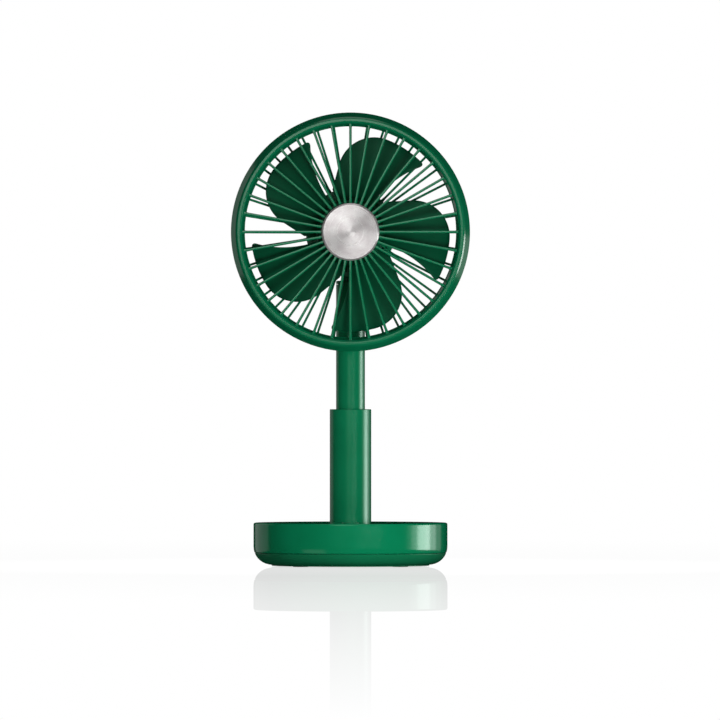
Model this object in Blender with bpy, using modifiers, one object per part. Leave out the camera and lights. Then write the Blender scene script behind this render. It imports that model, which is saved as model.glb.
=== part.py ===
"""Desk fan on a telescopic column: round base, sliding mast, tilting head and five-blade impeller.

Metres, +Z up. The origin is the middle of the face that the fan stands on, and the fan blows along -Y.
Head pieces are modelled in the head's own frame: X to the right, Y up, Z forward out of the grille.
"""

import math

import bmesh
import bpy
from mathutils import Matrix, Vector

# Clearances
GAP = 0.0003  # between pieces that touch
HOLE_SLACK = 0.0003  # on the radius of a hole round its screw or pin

# Base housing
BASE_RADIUS = 0.0805
BASE_HEIGHT = 0.036
BASE_EDGE_ROUND = 0.015
BASE_TOP_ROUND = 0.0015
BASE_SEAM_HEIGHT = 0.011
BASE_UNDERSIDE = 0.0012
WALL = 0.0022
FLOOR_THICKNESS = 0.003
BASE_STEPS = 48

# Feet and the screws that they hide
FOOT_RADIUS = 0.0065
FOOT_HEIGHT = 0.0021
FOOT_RECESS = 0.0012
FOOT_INSET = 0.0075  # from the edge of the flat underside to the middle of a foot
FOOT_ANGLES = (45, 135, 225, 315)
PAD_RADIUS = 0.0075
PAD_HEIGHT = 0.0018
POST_RADIUS = 0.004

# Screws
SCREW_RADIUS = 0.0015
SCREW_HEAD_RADIUS = 0.0027
SCREW_HEAD_HEIGHT = 0.0013
SCREW_BITE = 0.008
SMALL_SCREW_RADIUS = 0.001
SMALL_SCREW_HEAD = 0.0018

# Ballast and cells
BALLAST_MARGIN = 0.0015
BALLAST_THICKNESS = 0.005
CELL_RADIUS = 0.0092
CELL_LENGTH = 0.065
CELL_NUB_RADIUS = 0.003
CELL_NUB_HEIGHT = 0.0008
CELL_MARGIN = 0.00625  # between a cell and the column socket's sleeve
CLAMP_THICKNESS = 0.0012
CLAMP_WIDTH = 0.012
CLAMP_FOOT = 0.005

# Column
COLUMN_Y = 0.032
OUTER_TUBE_WALL = 0.002
OUTER_TUBE_TOP = 0.130
INNER_TUBE_RADIUS = 0.012
INNER_TUBE_WALL = 0.0015
INNER_TUBE_BOTTOM = 0.072
INNER_TUBE_BELOW_HINGE = 0.030
SHOE_HEIGHT = 0.014
BUSH_HEIGHT = 0.018
BUSH_WALL = 0.00265
SOCKET_FLANGE_WIDTH = 0.00645
SOCKET_FLANGE_THICKNESS = 0.006
SOCKET_LEDGE = 0.003
SOCKET_HEIGHT = 0.0255
SOCKET_WALL = 0.003
SOCKET_LEDGE_BORE = 0.012
SOCKET_SCREW_INSET = 0.0045
SOCKET_SCREW_SHORT = 0.0012  # from the top of the flange down to the screw's tip
TUBE_STEPS = 32

# Lead inside the column
LEAD_COIL_RADIUS = 0.0055

# Controls on the base
BUTTON_Y = -0.046
BUTTON_RADIUS = 0.007
BUTTON_PROUD = 0.0008
BUTTON_SLACK = 0.0004
BUTTON_FLANGE = 0.0015
BUTTON_FLANGE_THICKNESS = 0.0009
BUTTON_TRAVEL = 0.0008
BUTTON_ROUND = 0.0006
LENS_Y = -0.0575
LENS_RADIUS = 0.0012
LENS_FLANGE_RADIUS = 0.002
BOARD_SIZE = (0.056, 0.028)
BOARD_Y = -0.048
BOARD_THICKNESS = 0.0016
BOARD_DROP = 0.0044
BOARD_SCREW_X = 0.022
SWITCH_SIDE = 0.006
SWITCH_HEIGHT = 0.0017
SWITCH_PLUNGER_RADIUS = 0.0015

# Charging inlet at the back
PORT_HEIGHT = 0.021
PORT_MOUTH = (0.012, 0.007)
PORT_TUNNEL = (0.018, 0.0125)
PORT_DEPTH = 0.0068
INLET_SIZE = (0.009, 0.0075, 0.0033)
INLET_WALL = 0.0003
CHARGE_BOARD_SIZE = (0.020, 0.013)
CHARGE_BOARD_THICKNESS = 0.0012
CHARGE_POST_X = 0.0075
CHARGE_POST_RADIUS = 0.0022

# Hinge between the mast and the head
HINGE_HEIGHT = 0.264
HINGE_BELOW_HEAD = 0.013
HINGE_BARREL_RADIUS = 0.0085
TONGUE_WIDTH = 0.012
NECK_PLUG_LENGTH = 0.012
NECK_COLLAR_HEIGHT = 0.003
NECK_BORE_RADIUS = 0.003
NECK_BORE_BELOW_HINGE = 0.018
WASHER_THICKNESS = 0.0007
WASHER_RADIUS = 0.0075
PIN_RADIUS = 0.003
PIN_HEAD_RADIUS = 0.005
PIN_HEAD_THICKNESS = 0.0026
PIN_TIP = 0.0006  # past the nut
NUT_RADIUS = 0.0052
NUT_THICKNESS = 0.0032
EAR_THICKNESS = 0.0025
EAR_RADIUS = 0.008

# Head: radii about the fan's axis, depths forward of the axis's zero plane
HEAD_RADIUS = 0.099
HEAD_STEPS = 36
REAR_STEPS = 40
RING_BAND = 0.012
RING_CREST_INSET = 0.0065
RING_FRONT = 0.034
RING_SHOULDER = 0.0285
RING_INNER_BACK = 0.024
RING_CHAMFER = 0.004
RING_SEAM = 0.0222
RING_SPIGOT_BACK = 0.017
REAR_RIM_BACK = 0.004
REAR_LIP = 0.0055
REAR_RIM_ROUND = 0.005
FRONT_SPOKES = 36
FRONT_SPOKE_WIDTH = 0.0018
FRONT_SPOKE_DEPTHS = (0.028, 0.031)
REAR_SPOKES = 40
REAR_SPOKE_WIDTH = 0.002
REAR_SPOKE_THICKNESS = 0.0025
BOSS_RADIUS = 0.0315
BOSS_FRONT = 0.0325
CAP_RADIUS = 0.02375
CAP_FRONT = 0.034
CAP_SEAT = 0.0306
CAP_EDGE = 0.0014
PLATE_FRONT = -0.009

# Pod behind the head
POD_RADIUS = 0.037
POD_BACK = -0.044
POD_ROUND = 0.008
POD_WALL = 0.002
POD_SLOT_SLACK = 0.001
POD_SLOT_FRONT = -0.0185
POD_BOSS_INSET = 0.0018
POD_SCREW_ANGLES = (90, 210, 330)
POD_BOSS_RADIUS = 0.0032
BRACKET_TOP = 0.015
BRACKET_SCREW_Y = 0.011

# Motor
MOTOR_RADIUS = 0.021
MOTOR_WALL = 0.0015
MOTOR_BACK_WALL = 0.005
MOTOR_FRONT = 0.014
MOTOR_CAP_THICKNESS = 0.002
MOTOR_SNOUT_WALL = 0.0022
MOTOR_SNOUT_LENGTH = 0.0052
BEARING_RADIUS = 0.005
BEARING_LENGTH = 0.004
SHAFT_RADIUS = 0.002
SHAFT_FRONT = 0.0273
STATOR_BORE = 0.012
STATOR_DEPTHS = (-0.002, 0.010)
ROTOR_CORE_RADIUS = 0.0113

# Impeller
BLADES = 5
BLADE_AXIS_DEG = 75
BLADE_TIP_CLEARANCE = 0.0045
BLADE_ROOT_BITE = 0.0012
BLADE_THICKNESS = 0.0014
BLADE_LEAD_OFFSET = 0.0237
BLADE_LEAD_LIMIT_DEG = 38
BLADE_CORNER_RADIUS = 0.030
BLADE_TRAIL_ROOT_DEG = 23
BLADE_TRAIL_SWEEP_DEG = 10.3
BLADE_TRAIL_START = 0.035
BLADE_TRAIL_POWER = 1.5
BLADE_FRONT = 0.0225
BLADE_ROOT_DEPTH = 0.015
BLADE_TIP_DEPTH = 0.011
BLADE_CAMBER = 0.0018
BLADE_STATIONS = 6
BLADE_CHORD_CELLS = 4
HUB_RADIUS = 0.028
HUB_FRONT = 0.024
HUB_BACK = -0.001
HUB_WALL = 0.002
HUB_BOSS_RADIUS = 0.006
HUB_BOSS_BACK = 0.0198
HUB_ROUND = 0.003
BLADE_NUT_RADIUS = 0.0048
BLADE_NUT_THICKNESS = 0.0024

# Shares of a size
SCREW_FACE_SHARE = 0.8  # flat of a screw's head
SCREW_EDGE_SHARE = 0.4  # depth of its rounded edge
FOOT_TAPER = 0.92
PIN_HEAD_TAPER = 0.9
ROUND_CORNER = 0.3  # how far a one-point round stands in from its corner
RING_BEVEL_SHARE = 0.2

# Facets
SMALL_STEPS = 14
SCREW_STEPS = 8
ROUND_STEPS = 32
MEDIUM_STEPS = 24
CLAMP_STEPS = 10
BARREL_STEPS = 12
SLOT_END_STEPS = 6
RING_CREST_STEPS = 3
SHARP_DEG = 35
MERGE = 0.000001
TURN_MERGE = 0.00001
CUT = 0.002  # how far a cutter runs past the face that it cuts


# ---------------------------------------------------------------- helpers


def new_collection(name):
    collection = bpy.data.collections.new(name)
    bpy.context.scene.collection.children.link(collection)
    return collection


def material(name, colour, roughness, metallic=0.0):
    made = bpy.data.materials.new(name)
    made.use_nodes = True
    shader = made.node_tree.nodes["Principled BSDF"]
    shader.inputs["Base Color"].default_value = (*colour, 1.0)
    shader.inputs["Roughness"].default_value = roughness
    shader.inputs["Metallic"].default_value = metallic
    made.diffuse_color = (*colour, 1.0)
    return made


def frame_empty(name, location, rotation=(0, 0, 0), parent=None):
    empty = bpy.data.objects.new(name, None)
    empty.location = location
    empty.rotation_euler = rotation
    empty.parent = parent
    PARTS.objects.link(empty)
    return empty


def mesh_object(name, mesh, finish, parent=None, at=(0, 0, 0), turn=(0, 0, 0)):
    obj = bpy.data.objects.new(name, mesh)
    obj.parent = parent
    obj.location = at
    obj.rotation_euler = turn
    if finish:
        mesh.materials.append(finish)
        PARTS.objects.link(obj)
    else:
        CUTTERS.objects.link(obj)
        obj.hide_render = True
        obj.display_type = "WIRE"
    return obj


def arc(centre, radius, start_deg, end_deg, cells):
    """Points of an arc in a profile or an outline, both ends included."""
    turn = (end_deg - start_deg) / cells
    angles = [math.radians(start_deg + turn * i) for i in range(cells + 1)]
    return [(centre[0] + radius * math.cos(a), centre[1] + radius * math.sin(a)) for a in angles]


def turned(name, profile, finish, steps=SMALL_STEPS, closed=False, **place):
    """A turned piece: (radius, height) points down the outer side, with a Screw modifier about Z."""
    mesh = bpy.data.meshes.new(name)
    edges = [(i, i + 1) for i in range(len(profile) - 1)]
    if closed:
        edges.append((len(profile) - 1, 0))
    mesh.from_pydata([(r, 0, z) for r, z in profile], edges, [])
    obj = mesh_object(name, mesh, finish, **place)
    screw = obj.modifiers.new("turn", "SCREW")
    screw.steps = steps
    screw.render_steps = steps
    screw.use_merge_vertices = True
    screw.merge_threshold = TURN_MERGE
    screw.use_smooth_shade = True
    return obj


def rod(name, radius, low, high, finish, steps=SMALL_STEPS, **place):
    """A plain cylinder from low to high along its own Z."""
    mesh = bpy.data.meshes.new(name)
    form = bmesh.new()
    middle = Matrix.Translation((0, 0, (low + high) / 2))
    bmesh.ops.create_cone(
        form, cap_ends=True, segments=steps, radius1=radius, radius2=radius,
        depth=high - low, matrix=middle,
    )
    form.to_mesh(mesh)
    form.free()
    return mesh_object(name, mesh, finish, **place)


def block(name, low, high, finish, **place):
    """A box between two corners."""
    mesh = bpy.data.meshes.new(name)
    form = bmesh.new()
    size = Vector(high) - Vector(low)
    middle = (Vector(high) + Vector(low)) / 2
    bmesh.ops.create_cube(form, size=1, matrix=Matrix.Translation(middle) @ Matrix.Diagonal((*size, 1)))
    form.to_mesh(mesh)
    form.free()
    return mesh_object(name, mesh, finish, **place)


def flat(name, loops, low, high, finish, **place):
    """An outline with its holes, extruded from low to high along Z and made a mesh."""
    curve = bpy.data.curves.new(name, "CURVE")
    curve.dimensions = "2D"
    curve.fill_mode = "BOTH"
    curve.extrude = (high - low) / 2
    for loop in loops:
        spline = curve.splines.new("POLY")
        spline.points.add(len(loop) - 1)
        for point, (x, y) in zip(spline.points, loop):
            point.co = (x, y, 0, 1)
        spline.use_cyclic_u = True
    guide = bpy.data.objects.new(name + "_outline", curve)
    PARTS.objects.link(guide)
    bpy.context.view_layer.update()
    graph = bpy.context.evaluated_depsgraph_get()
    mesh = bpy.data.meshes.new_from_object(guide.evaluated_get(graph))
    bpy.data.objects.remove(guide)
    bpy.data.curves.remove(curve)
    mesh.name = name
    form = bmesh.new()
    form.from_mesh(mesh)
    bmesh.ops.remove_doubles(form, verts=form.verts, dist=MERGE)
    bmesh.ops.translate(form, verts=form.verts, vec=(0, 0, (low + high) / 2))
    form.to_mesh(mesh)
    form.free()
    return mesh_object(name, mesh, finish, **place)


def boolean(obj, other, operation):
    change = obj.modifiers.new(other.name, "BOOLEAN")
    change.operation = operation
    change.object = other


def cut(obj, *cutters):
    for cutter in cutters:
        boolean(obj, cutter, "DIFFERENCE")


def join(obj, *others):
    for other in others:
        boolean(obj, other, "UNION")


def on_circle(radius, angle_deg):
    angle = math.radians(angle_deg)
    return radius * math.cos(angle), radius * math.sin(angle)


def circle(radius, cells, centre=(0, 0)):
    return arc(centre, radius, 0, 360, cells)[:-1]


def ring_profile(outer, inner, low, high):
    return [(outer, high), (outer, low), (inner, low), (inner, high)]


def screw_profile(radius, head_radius, head_height, length):
    """A screw on its own Z: the head's top at zero, the shank below it."""
    return [
        (0, 0),
        (head_radius * SCREW_FACE_SHARE, 0),
        (head_radius, -head_height * SCREW_EDGE_SHARE),
        (head_radius, -head_height),
        (radius, -head_height),
        (radius, -head_height - length),
        (0, -head_height - length),
    ]


def slot_outline(centre_x, radius):
    """A slot with round ends, each about a centre that far from the middle."""
    right = arc((centre_x, 0), radius, -90, 90, SLOT_END_STEPS)
    left = arc((-centre_x, 0), radius, 90, 270, SLOT_END_STEPS)
    return right + left


def hexagon(radius):
    sides = 6
    return circle(radius, sides)


# ---------------------------------------------------------------- sizes worked out

OUTER_TUBE_RADIUS = INNER_TUBE_RADIUS + GAP + BUSH_WALL + GAP + OUTER_TUBE_WALL
INNER_TUBE_TOP = HINGE_HEIGHT - INNER_TUBE_BELOW_HINGE
NECK_BORE_TOP = HINGE_HEIGHT - NECK_BORE_BELOW_HINGE
HEAD_HEIGHT = HINGE_HEIGHT + HINGE_BELOW_HEAD
FOOT_CIRCLE = BASE_RADIUS - BASE_EDGE_ROUND - FOOT_INSET
BALLAST_RADIUS = FOOT_CIRCLE - PAD_RADIUS - BALLAST_MARGIN
SOCKET_SLEEVE_RADIUS = OUTER_TUBE_RADIUS + GAP + SOCKET_WALL
SOCKET_FLANGE_RADIUS = SOCKET_SLEEVE_RADIUS + SOCKET_FLANGE_WIDTH
SOCKET_SCREW_X = SOCKET_FLANGE_RADIUS - SOCKET_SCREW_INSET
CELL_X = SOCKET_SLEEVE_RADIUS + CELL_MARGIN + CELL_RADIUS
RING_OPENING = HEAD_RADIUS - RING_BAND
REAR_LIP_RADIUS = HEAD_RADIUS - REAR_LIP
PLATE_RADIUS = POD_RADIUS
POD_SCREW_CIRCLE = POD_RADIUS - POD_WALL - POD_BOSS_RADIUS - POD_BOSS_INSET
BLADE_TIP_RADIUS = RING_OPENING - BLADE_TIP_CLEARANCE
BLADE_ROOT_RADIUS = HUB_RADIUS - BLADE_ROOT_BITE
FLOOR_TOP = BASE_UNDERSIDE + FLOOR_THICKNESS
BASE_INNER_TOP = BASE_HEIGHT - WALL
FOOT_SEAT = BASE_UNDERSIDE + FOOT_RECESS
PAD_TOP = FLOOR_TOP + PAD_HEIGHT
SCREW_HOLE = SCREW_RADIUS + HOLE_SLACK
HEAD_HOLE = SCREW_HEAD_RADIUS + HOLE_SLACK
BALLAST_BOTTOM = FLOOR_TOP + GAP
BALLAST_TOP = BALLAST_BOTTOM + BALLAST_THICKNESS
CELL_HEIGHT = BALLAST_TOP + GAP + CELL_RADIUS
SOCKET_BOTTOM = FLOOR_TOP + GAP
FLANGE_TOP = SOCKET_BOTTOM + SOCKET_FLANGE_THICKNESS
OUTER_TUBE_BOTTOM = SOCKET_BOTTOM + SOCKET_LEDGE + GAP
OUTER_TUBE_BORE = OUTER_TUBE_RADIUS - OUTER_TUBE_WALL
SLEEVE_RADIUS = OUTER_TUBE_BORE - GAP
INNER_TUBE_BORE = INNER_TUBE_RADIUS - INNER_TUBE_WALL
BOARD_TOP = BASE_INNER_TOP - BOARD_DROP - GAP
BOARD_BOTTOM = BOARD_TOP - BOARD_THICKNESS
BUTTON_FLANGE_TOP = BASE_INNER_TOP - GAP
BUTTON_BOTTOM = BUTTON_FLANGE_TOP - BUTTON_FLANGE_THICKNESS
SWITCH_BOTTOM = BOARD_TOP + GAP
PLATE_BACK = PLATE_FRONT - REAR_SPOKE_THICKNESS
POD_FRONT = PLATE_BACK - GAP
HINGE_DEPTH = -COLUMN_Y
HINGE_Y = HINGE_HEIGHT - HEAD_HEIGHT
WASHER_X = TONGUE_WIDTH / 2 + GAP
EAR_X = WASHER_X + WASHER_THICKNESS + GAP
EAR_OUTER_X = EAR_X + EAR_THICKNESS
PIN_HOLE = PIN_RADIUS + HOLE_SLACK
MOTOR_BACK = PLATE_FRONT + GAP
MOTOR_SEAT = MOTOR_BACK + MOTOR_BACK_WALL
MOTOR_CAP_BACK = MOTOR_FRONT + GAP
BEARING_SEAT = BEARING_RADIUS + GAP
MOTOR_SNOUT_RADIUS = BEARING_SEAT + MOTOR_SNOUT_WALL


# ---------------------------------------------------------------- base


def edge_arc(inset, from_height, to_height, cells):
    """The base's rounded lower edge between two heights, set in by inset."""
    radius = BASE_EDGE_ROUND - inset
    centre = (BASE_RADIUS - BASE_EDGE_ROUND, BASE_UNDERSIDE + BASE_EDGE_ROUND)
    start = math.degrees(math.asin(max(-1, (from_height - centre[1]) / radius)))
    end = math.degrees(math.asin(max(-1, (to_height - centre[1]) / radius)))
    return arc(centre, radius, start, end, cells)


def make_base_shell():
    shoulder = BASE_UNDERSIDE + BASE_EDGE_ROUND
    lower_end = BASE_SEAM_HEIGHT + GAP / 2
    corner = (BASE_RADIUS - BASE_TOP_ROUND, BASE_HEIGHT - BASE_TOP_ROUND)
    profile = [(0, BASE_HEIGHT)]
    profile += arc(corner, BASE_TOP_ROUND, 90, 0, 2)
    profile += edge_arc(0, shoulder, lower_end, 2)
    profile += edge_arc(WALL, lower_end, shoulder, 1)
    profile += [(BASE_RADIUS - WALL, BASE_INNER_TOP), (0, BASE_INNER_TOP)]
    shell = turned("base_shell", profile, GREEN_GLOSS, BASE_STEPS)
    for number, angle in enumerate(FOOT_ANGLES, 1):
        x, y = on_circle(FOOT_CIRCLE, angle)
        post_foot = PAD_TOP + GAP
        post = rod(f"post_{number}", POST_RADIUS, post_foot, BASE_INNER_TOP + WALL / 2, None, at=(x, y, 0))
        hole = rod(
            f"post_hole_{number}", SCREW_HOLE, post_foot - CUT, post_foot + SCREW_BITE + CUT,
            None, SCREW_STEPS, at=(x, y, 0),
        )
        join(shell, post)
        cut(shell, hole)
    for side in (-1, 1):
        x = side * BOARD_SCREW_X
        low = BASE_INNER_TOP - BOARD_DROP
        stud = rod(
            f"stud_{side}", POST_RADIUS / 2, low, BASE_INNER_TOP + WALL / 2,
            None, SCREW_STEPS, at=(x, BOARD_Y, 0),
        )
        hole = rod(
            f"stud_hole_{side}", SMALL_SCREW_RADIUS + HOLE_SLACK, low - CUT, BASE_INNER_TOP - GAP,
            None, SCREW_STEPS, at=(x, BOARD_Y, 0),
        )
        join(shell, stud)
        cut(shell, hole)
    wide, high = PORT_TUNNEL
    inner_y = BASE_RADIUS - PORT_DEPTH
    tunnel = block(
        "port_tunnel", (-wide / 2, inner_y, PORT_HEIGHT - high / 2),
        (wide / 2, BASE_RADIUS - WALL, PORT_HEIGHT + high / 2), None,
    )
    join(shell, tunnel)
    wide, high = PORT_MOUTH
    mouth = block(
        "port_mouth", (-wide / 2, inner_y - CUT, PORT_HEIGHT - high / 2),
        (wide / 2, BASE_RADIUS + CUT, PORT_HEIGHT + high / 2), None,
    )
    above = (BASE_INNER_TOP - CUT, BASE_HEIGHT + CUT)
    column_hole = rod(
        "column_hole", OUTER_TUBE_RADIUS + GAP, *above, None, TUBE_STEPS, at=(0, COLUMN_Y, 0),
    )
    button_hole = rod(
        "button_hole", BUTTON_RADIUS + BUTTON_SLACK, *above, None, MEDIUM_STEPS, at=(0, BUTTON_Y, 0),
    )
    lens_hole = rod("lens_hole", LENS_RADIUS + GAP, *above, None, SCREW_STEPS, at=(0, LENS_Y, 0))
    cut(shell, mouth, column_hole, button_hole, lens_hole)


def make_base_tray():
    upper_end = BASE_SEAM_HEIGHT - GAP / 2
    flat_radius = BASE_RADIUS - BASE_EDGE_ROUND
    profile = [(0, FLOOR_TOP), (flat_radius - WALL, FLOOR_TOP)]
    profile += edge_arc(WALL, FLOOR_TOP + WALL / 4, upper_end, 2)
    profile += edge_arc(0, upper_end, BASE_UNDERSIDE, 4)
    profile += [(0, BASE_UNDERSIDE)]
    tray = turned("base_tray", profile, GREEN_SATIN, BASE_STEPS)
    for number, angle in enumerate(FOOT_ANGLES, 1):
        x, y = on_circle(FOOT_CIRCLE, angle)
        pad = rod(f"pad_{number}", PAD_RADIUS, FLOOR_TOP - WALL / 2, PAD_TOP, None, at=(x, y, 0))
        recess = rod(f"foot_recess_{number}", FOOT_RADIUS + GAP, -CUT, FOOT_SEAT, None, at=(x, y, 0))
        head_seat = FOOT_SEAT + SCREW_HEAD_HEIGHT + GAP
        sink = rod(f"sink_{number}", HEAD_HOLE, -CUT, head_seat, None, SCREW_STEPS, at=(x, y, 0))
        hole = rod(
            f"tray_hole_{number}", SCREW_HOLE, -CUT, PAD_TOP + CUT, None, SCREW_STEPS, at=(x, y, 0),
        )
        join(tray, pad)
        cut(tray, recess, sink, hole)
    for side in (-1, 1):
        x = side * SOCKET_SCREW_X
        seat = BASE_UNDERSIDE + SCREW_HEAD_HEIGHT + GAP
        place = {"steps": SCREW_STEPS, "at": (x, COLUMN_Y, 0)}
        sink = rod(f"socket_sink_{side}", HEAD_HOLE, -CUT, seat, None, **place)
        hole = rod(f"socket_hole_{side}", SCREW_HOLE, -CUT, FLOOR_TOP + CUT, None, **place)
        cut(tray, sink, hole)
        post_top = charge_board_bottom() - GAP
        post = rod(
            f"charge_post_{side}", CHARGE_POST_RADIUS, FLOOR_TOP - WALL / 2, post_top,
            None, SCREW_STEPS, at=(side * CHARGE_POST_X, charge_board_y(), 0),
        )
        join(tray, post)


def make_feet():
    for number, angle in enumerate(FOOT_ANGLES, 1):
        x, y = on_circle(FOOT_CIRCLE, angle)
        rim = FOOT_RADIUS * FOOT_TAPER
        profile = [
            (0, FOOT_HEIGHT), (FOOT_RADIUS, FOOT_HEIGHT), (FOOT_RADIUS, FOOT_HEIGHT / 3), (rim, 0), (0, 0),
        ]
        turned(f"foot_{number}", profile, RUBBER, at=(x, y, 0))
        shank = PAD_TOP + SCREW_BITE - FOOT_SEAT - SCREW_HEAD_HEIGHT
        turned(
            f"base_screw_{number}",
            screw_profile(SCREW_RADIUS, SCREW_HEAD_RADIUS, SCREW_HEAD_HEIGHT, shank),
            STEEL, SCREW_STEPS, at=(x, y, FOOT_SEAT), turn=(math.pi, 0, 0),
        )


def make_ballast():
    plate = rod("counterweight", BALLAST_RADIUS, BALLAST_BOTTOM, BALLAST_TOP, STEEL, ROUND_STEPS)
    notch = rod(
        "ballast_notch", SOCKET_FLANGE_RADIUS + GAP, BALLAST_BOTTOM - CUT, BALLAST_TOP + CUT,
        None, TUBE_STEPS, at=(0, COLUMN_Y, 0),
    )
    cut(plate, notch)


def make_battery(name, side):
    half = CELL_LENGTH / 2
    body = half - CELL_NUB_HEIGHT
    profile = [
        (0, half), (CELL_NUB_RADIUS, half), (CELL_NUB_RADIUS, body), (CELL_RADIUS, body),
        (CELL_RADIUS, -half), (0, -half),
    ]
    turned(
        f"battery_cell_{name}", profile, CELL_WRAP, MEDIUM_STEPS,
        at=(side * CELL_X, 0, CELL_HEIGHT), turn=(math.pi / 2 * side, 0, 0),
    )
    inner = CELL_RADIUS + GAP
    outer = inner + CLAMP_THICKNESS
    foot_y = BALLAST_TOP + GAP - CELL_HEIGHT
    reach = outer + CLAMP_FOOT
    outline = [(outer, foot_y + CLAMP_THICKNESS), (outer, 0)]
    outline += arc((0, 0), outer, 0, 180, CLAMP_STEPS)[1:]
    outline += [
        (-outer, foot_y + CLAMP_THICKNESS), (-reach, foot_y + CLAMP_THICKNESS), (-reach, foot_y),
        (-inner, foot_y), (-inner, 0),
    ]
    outline += arc((0, 0), inner, 180, 0, CLAMP_STEPS)[1:]
    outline += [(inner, foot_y), (reach, foot_y), (reach, foot_y + CLAMP_THICKNESS)]
    flat(
        f"battery_clamp_{name}", [outline], -CLAMP_WIDTH / 2, CLAMP_WIDTH / 2, STEEL,
        at=(side * CELL_X, 0, CELL_HEIGHT), turn=(math.pi / 2, 0, 0),
    )


def make_controls():
    half_wide, half_deep = (side / 2 for side in BOARD_SIZE)
    board = block(
        "control_board", (-half_wide, BOARD_Y - half_deep, BOARD_BOTTOM),
        (half_wide, BOARD_Y + half_deep, BOARD_TOP), BOARD,
    )
    for name, side in (("left", -1), ("right", 1)):
        x = side * BOARD_SCREW_X
        hole = rod(
            f"board_hole_{name}", SMALL_SCREW_RADIUS + HOLE_SLACK, BOARD_BOTTOM - CUT, BOARD_TOP + CUT,
            None, SCREW_STEPS, at=(x, BOARD_Y, 0),
        )
        cut(board, hole)
        shank = BOARD_THICKNESS + BOARD_DROP
        head_top = BOARD_BOTTOM - GAP - SCREW_HEAD_HEIGHT
        turned(
            f"board_screw_{name}",
            screw_profile(SMALL_SCREW_RADIUS, SMALL_SCREW_HEAD, SCREW_HEAD_HEIGHT, shank - GAP),
            STEEL, SCREW_STEPS, at=(x, BOARD_Y, head_top), turn=(math.pi, 0, 0),
        )
    half_switch = SWITCH_SIDE / 2
    switch_top = SWITCH_BOTTOM + SWITCH_HEIGHT
    switch = block(
        "button_switch", (-half_switch, BUTTON_Y - half_switch, SWITCH_BOTTOM),
        (half_switch, BUTTON_Y + half_switch, switch_top), DARK_PLASTIC,
    )
    plunger_top = BUTTON_BOTTOM - BUTTON_TRAVEL - GAP / 2
    plunger = rod(
        "switch_plunger", SWITCH_PLUNGER_RADIUS, SWITCH_BOTTOM + SWITCH_HEIGHT / 2, plunger_top,
        None, SCREW_STEPS, at=(0, BUTTON_Y, 0),
    )
    join(switch, plunger)
    top = BASE_HEIGHT + BUTTON_PROUD
    rim = BUTTON_RADIUS + BUTTON_FLANGE
    profile = [
        (0, top), (BUTTON_RADIUS - BUTTON_ROUND, top), (BUTTON_RADIUS, top - BUTTON_ROUND),
        (BUTTON_RADIUS, BUTTON_FLANGE_TOP), (rim, BUTTON_FLANGE_TOP), (rim, BUTTON_BOTTOM),
        (0, BUTTON_BOTTOM),
    ]
    turned("power_button", profile, GREEN_SATIN, MEDIUM_STEPS, at=(0, BUTTON_Y, 0))
    lens_base = BASE_INNER_TOP - GAP
    lens_bottom = lens_base - BUTTON_FLANGE_THICKNESS
    profile = [
        (0, BASE_HEIGHT), (LENS_RADIUS, BASE_HEIGHT), (LENS_RADIUS, lens_base),
        (LENS_FLANGE_RADIUS, lens_base), (LENS_FLANGE_RADIUS, lens_bottom), (0, lens_bottom),
    ]
    turned("indicator_lens", profile, LENS, SCREW_STEPS, at=(0, LENS_Y, 0))


def charge_board_bottom():
    return PORT_HEIGHT - INLET_SIZE[2] / 2 - GAP - CHARGE_BOARD_THICKNESS


def charge_board_y():
    return BASE_RADIUS - PORT_DEPTH - GAP - CHARGE_BOARD_SIZE[1] / 2


def make_inlet():
    wide, deep = CHARGE_BOARD_SIZE
    back = BASE_RADIUS - PORT_DEPTH - GAP
    low = charge_board_bottom()
    block(
        "charge_board", (-wide / 2, back - deep, low), (wide / 2, back, low + CHARGE_BOARD_THICKNESS), BOARD,
    )
    wide, deep, high = INLET_SIZE
    bottom = low + CHARGE_BOARD_THICKNESS + GAP
    corner = high / 2
    centre_x = wide / 2 - corner
    outline = slot_outline(centre_x, corner)
    mouth = slot_outline(centre_x, corner - INLET_WALL)
    shell_place = {"at": (0, back, bottom + corner), "turn": (math.pi / 2, 0, 0)}
    set_back = INLET_WALL * 3
    socket = flat("charge_socket", [outline], 0, deep, STEEL, **shell_place)
    mouth_cutter = flat("inlet_mouth", [mouth], -CUT, deep - set_back, None, **shell_place)
    cut(socket, mouth_cutter)
    tongue = block(
        "inlet_tongue", (-wide / 3, back - deep + INLET_WALL, PORT_HEIGHT - INLET_WALL),
        (wide / 3, back - set_back, PORT_HEIGHT + INLET_WALL), None,
    )
    join(socket, tongue)


# ---------------------------------------------------------------- column


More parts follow.
